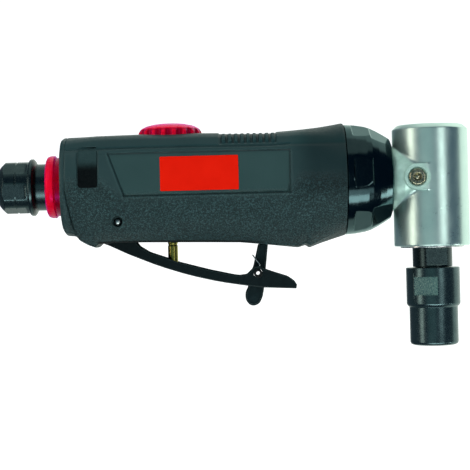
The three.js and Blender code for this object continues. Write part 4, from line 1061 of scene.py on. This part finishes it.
coil = []
for i in range(41):
    a = math.pi * 1.05 + (i / 20) * 2 * math.pi
    coil.append((LX + 2.0 * math.cos(a), -3.1 + (i / 40) * 1.2, LZ + 2.0 * math.sin(a)))
wire = [(LX - 1.1, -3.1, LZ - 4.6), (LX - 1.7, -3.1, LZ - 1.6)] + coil + [(LX - 2.1, -1.9, LZ + 0.6), (LX - 0.6, -1.95, LZ + 2.1), (LX + 1.0, -1.95, LZ + 2.5), (LX - 0.2, -1.95, LZ + 4.3), (LX - 1.5, -1.9, LZ + 6.15), (LX - 1.75, -1.5, LZ + 6.5), (LX - 1.75, 0.4, LZ + 6.5)]
spring = tube("lock_spring_wire", wire, 0.24, 12)
put(spring, "lock", "bright_steel", MATS["bright_steel"], "lock_spring", angle=60)

# the spring over the throttle valve
coil = [(VX + 3.2 * math.cos(i * math.pi / 12), 3.2 * math.sin(i * math.pi / 12), -0.8 + 10.8 * i / 96) for i in range(97)]
spring = tube("valve_spring_wire", coil, 0.38, 12)
put(spring, "handle", "bright_steel", MATS["bright_steel"], "valve_spring", angle=60)
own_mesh(spring)

# ------------------------------------------------------------------ nose cap

CAP_X, CAP_D = [52.4, 52.85, 53.05, 53.25, 54.6, 59.2, 59.6, 66.7, 70.0], [20.6, 19.1, 18.80, 18.70, 18.56, 18.12, 17.5, 13.95, 12.3]


def cap_radius(h, r, a):
    if r < 12.2 or h < 52.2:
        return r
    step = math.pi / 3
    d = (a - D(-90 + 6.5) + step / 2) % step - step / 2
    return soft_min(r, float(np.interp(h, CAP_X, CAP_D)) / math.cos(d), 0.07)


cap_profile = fillet([
    (44.2, 15.35), (44.2, 17.05), (50.45, 17.05), (50.45, 19.75), (54.1, 19.47), (57.6, 18.92), (59.6, 18.33), (62.0, 17.14), (64.4, 15.76), (66.7, 14.3), (67.35, 12.4), (67.35, 11.75), (57.6, 11.75), (57.6, 15.35)],
    [0, 0, 0.05, 0.3, 2.0, 3.0, 0.8, 4.0, 4.0, 0.9, 0.4, 0.15, 0, 0], seg=6)
cap = lathe("nose_cap_body", "x", finely(cap_profile, 0.16, lambda h, r: h > 50.4 and r > 12.2), 432, radius=cap_radius)
put(cap, "handle", "black_gloss", MATS["black_gloss"], "nose_cap", angle=32)

# ------------------------------------------------------------------ angle head
HX = 81.6


def neck_form(x):
    """Half width, half height and squareness of the neck at x from the output axis."""
    t = [-17, -14.2, -13.2, -10.5, -7.3, -4.5, -2.0]
    return np.interp(x, t, [11.3, 11.3, 11.7, 12.7, 13.1, 12.4, 11.0]), np.interp(x, t, [11.3, 11.2, 10.8, 9.2, 7.3, 5.6, 4.6]), np.interp(x, t, [2, 2, 2.2, 2.5, 2.6, 2.5, 2.4])


def smooth_union(a, b, k):
    h = np.clip(0.5 + 0.5 * (b - a) / k, 0, 1)
    return b * (1 - h) + a * h - k * h * (1 - h)


def head_field(x, y, z):
    barrel = np.hypot(x, y) - 13.5
    ry, rz, n = neck_form(x)
    q = (np.abs(y / ry) ** n + np.abs(z / rz) ** n) ** (1 / n)
    neck = (q - 1) * np.minimum(ry, rz)
    neck = np.maximum(neck, -16.2 - x)
    neck = np.maximum(neck, x + 2.0)
    d = smooth_union(barrel, neck, 0.9)
    bx, bz = x + 6.28, z - 0.1
    flat = np.hypot(np.minimum(bx, 0), bz) - 4.65
    # the boss's face dips into the barrel at its far end
    face = 13.5 - 0.022 * np.maximum(bx - 2.2, 0) ** 2
    boss = np.maximum(np.maximum(flat, -face - y), np.maximum(y + 9, bx - 7.5))
    return smooth_union(d, boss, 0.24)


def head_body():
    n = 480
    ang = np.linspace(0, 2 * math.pi, n, endpoint=False)
    zs = np.concatenate([[-24.5, -24.4, -24.2], np.arange(-23.8, -12.2, 0.8), np.arange(-12.2, 12.4, 0.24), np.arange(12.4, 16.7, 0.75), [16.85]])
    A, Z = np.meshgrid(ang, zs)
    dx, dy = np.cos(A), np.sin(A)
    lo, hi = np.full_like(A, 12.9), np.full_like(A, 24.0)
    # outermost crossing of the surface along each ray
    rs = np.linspace(24.0, 12.9, 150)
    found = np.zeros_like(A, dtype=bool)
    for r in rs:
        insd = head_field(r * dx, r * dy, Z) < 0
        hit = insd & ~found
        lo = np.where(hit, r, lo)
        hi = np.where(hit, r + (rs[0] - rs[1]), hi)
        found |= insd
    for _ in range(16):
        m = (lo + hi) / 2
        insd = head_field(m * dx, m * dy, Z) < 0
        lo, hi = np.where(insd, m, lo), np.where(insd, hi, m)
    R = (lo + hi) / 2
    R[0] -= 0.35
    R[1] -= 0.12
    R[2] -= 0.02
    rows = [np.stack([R[k] * dx[k], R[k] * dy[k], Z[k]], 1) for k in range(len(zs))]
    for r, z in fillet([(13.5, 15.4), (13.5, 17.3), (11.75, 18.85), (9.5, 18.85)], [0, 0.55, 0.8, 0], closed=False, seg=6)[1:-1]:
        rows.append(np.stack([r * np.cos(ang), r * np.sin(ang), np.full(n, z)], 1))
    rows.append(np.stack([9 * np.cos(ang), 9 * np.sin(ang), np.full(n, 18.85)], 1))
    verts = np.concatenate(rows)
    m = len(rows)
    a = np.arange(m - 1)[:, None] * n + np.arange(n)[None, :]
    b = np.arange(m - 1)[:, None] * n + (np.arange(n)[None, :] + 1) % n
    faces = np.stack([a, b, b + n, a + n], 2).reshape(-1, 4).tolist()
    verts = np.concatenate([verts, [[0, 0, 18.85], [0, 0, -24.5]]])
    t, u = m * n, m * n + 1
    faces += [[(m - 1) * n + k, (m - 1) * n + (k + 1) % n, t] for k in range(n)]
    faces += [[(k + 1) % n, k, u] for k in range(n)]
    return outward(new_object("angle_head_body", verts + np.array([HX, 0, 0]), faces))


head = head_body()
boolean(head, [
    rod("x", -33, -3, 8.7, (HX, 0, 0), 64), rod("z", -12.3, 9.6, 9.9, (HX, 0, 0), 64), rod("z", -26, -12.15, 11.2, (HX, 0, 0), 64),
    lathe("tool", "z", [(-26, 0), (-26, 12.0), (-24.5, 12.0), (-24.2, 11.6), (-19.4, 11.6), (-19.4, 0)], 96, (HX, 0, 0)),
    rod("z", 9.0, 15.9, 7.7, (HX, 0, 0), 64), rod("y", -16, -7, 2.3, (HX - 6.28, 0, 0), 32),
    lathe("tool", "y", [(-16, 0), (-16, 3.7), (-13.5, 3.62), (-13.2, 3.3), (-12.2, 3.3), (-12.2, 0)], 64, (HX - 6.28, 0, 0)),
])
put(head, "handle", "head_aluminium", MATS["head_aluminium"], "angle_head", angle=40)

# the neck's sleeve, which runs on into the nose cap
sleeve = lathe("head_neck_sleeve", "x", fillet([(-31.0, 8.9), (-31.0, 14.8), (-24.4, 14.8), (-24.39, 11.25), (-15.4, 11.25), (-15.4, 8.9)], 0.05, seg=2), 96, (HX, 0, 0))
put(sleeve, "handle", "head_aluminium", MATS["head_aluminium"])

PLUG = brass_material("plug_bronze", (0.26, 0.25, 0.17), (0.52, 0.50, 0.36), 0.26)
plug = lathe("grease_plug_screw", "y", fillet([(-12.9, 0), (-13.0, 1.15), (-13.55, 1.5), (-13.55, 2.55), (-13.2, 2.98), (-12.35, 2.98), (-12.35, 2.15), (-9.6, 2.15), (-9.6, 0)],
             [0, 0.15, 0.2, 0.3, 0.2, 0, 0, 0, 0], closed=False, seg=5), 72, (HX - 6.28, 0, 0))
hexagon = [(HX - 6.28 + 1.32 * math.cos(D(60 * i + 8)), 1.32 * math.sin(D(60 * i + 8))) for i in range(6)]
boolean(plug, [prism("tool", hexagon, -15, -12.3, 0)])
boolean(plug, [lathe("tool", "y", [(-13.1, 0), (-12.2, 1.25), (-11.8, 1.25), (-11.8, 0)], 24, (HX - 6.28, 0, 0))], "UNION")
put(plug, "handle", "brass", PLUG, "grease_plug", angle=30)

retainer = lathe("bearing_retainer_ring", "z", fillet([(-25.1, 7.45), (-25.1, 11.35), (-19.6, 11.35), (-19.6, 9.25), (-21.7, 9.25), (-21.7, 7.45)], [0.25, 0.3, 0, 0, 0, 0], seg=4), 120, (HX, 0, 0))
boolean(retainer, [rod("z", -26, -23.1, 0.8, (HX + 9.4 * s, 0, 0), 24) for s in (-1, 1)])
put(retainer, "handle", "bright_steel", MATS["bright_steel"], "bearing_retainer")

# ------------------------------------------------------------------ spindle, nut and collet

spindle = lathe("spindle_shaft", "z", fillet([
    (14.9, 0), (14.9, 2.85), (9.4, 2.85), (9.4, 3.85), (-19.45, 3.85), (-19.45, 7.1), (-31.9, 7.1), (-32.1, 6.0), (-47.0, 6.0), (-47.0, 5.35), (-33.0, 4.25), (-33.0, 0)],
    [0, 0.3, 0, 0, 0, 0.1, 0.15, 0, 0.2, 0.1, 0, 0], closed=False, seg=4), 120, (HX, 0, 0))
flats = [turn(box("tool", HX - 9, HX + 9, 6.0, 12, -31.3, -25.4), "Z", 7.3 + s, (HX, 0, 0)) for s in (0, 180)]
boolean(spindle, flats)
put(spindle, "spindle", "black_oxide_steel", SPINDLE_STEEL, "spindle", angle=30)

nut_profile = fillet([
    (-32.2, 6.35), (-32.2, 9.6), (-45.1, 9.6), (-45.75, 9.3), (-46.35, 8.65), (-58.9, 8.65), (-59.6, 8.35), (-60.0, 7.4), (-60.0, 4.5), (-59.4, 4.35),
    (-58.6, 4.35), (-51.2, 5.8), (-48.0, 5.8), (-48.0, 6.35)], [0.1, 0.3, 0.25, 0.3, 0.3, 0.6, 0.5, 0.3, 0.2, 0.1, 0, 0, 0, 0], seg=5)
nut = lathe("collet_nut_body", "z", nut_profile, 180, (HX, 0, 0))
flats = [turn(box("tool", HX - 9, HX + 9, 8.5, 12, -42.0, -35.4), "Z", -25 + s, (HX, 0, 0)) for s in (0, 180)]
boolean(nut, flats)
put(nut, "nut", "black_oxide_steel", NUT_STEEL, "collet_nut", angle=30)

collet = lathe("collet_jaws", "z", fillet([(-34.0, 3.05), (-34.0, 3.95), (-50.0, 5.25), (-51.0, 5.25), (-57.6, 3.9), (-58.75, 3.9), (-58.75, 3.05)], [0, 0, 0.3, 0.3, 0.2, 0.15, 0.15], seg=4), 96, (HX, 0, 0))
boolean(collet, [turn(box("tool", HX, HX + 8, -0.3, 0.3, -60, -40), "Z", 45 + 90 * i, (HX, 0, 0)) for i in range(4)])
put(collet, "spindle", "bright_steel", MATS["bright_steel"], "collet")

# ------------------------------------------------------------------ the frame's own nodes that stay

slots = {s["node"]: s["material_slot"] for s in frame["record"]["subparts"]}
for name, ob in frame["nodes"].items():
    ob.data.materials.clear()
    ob.data.materials.append(MATS[slots[name]])
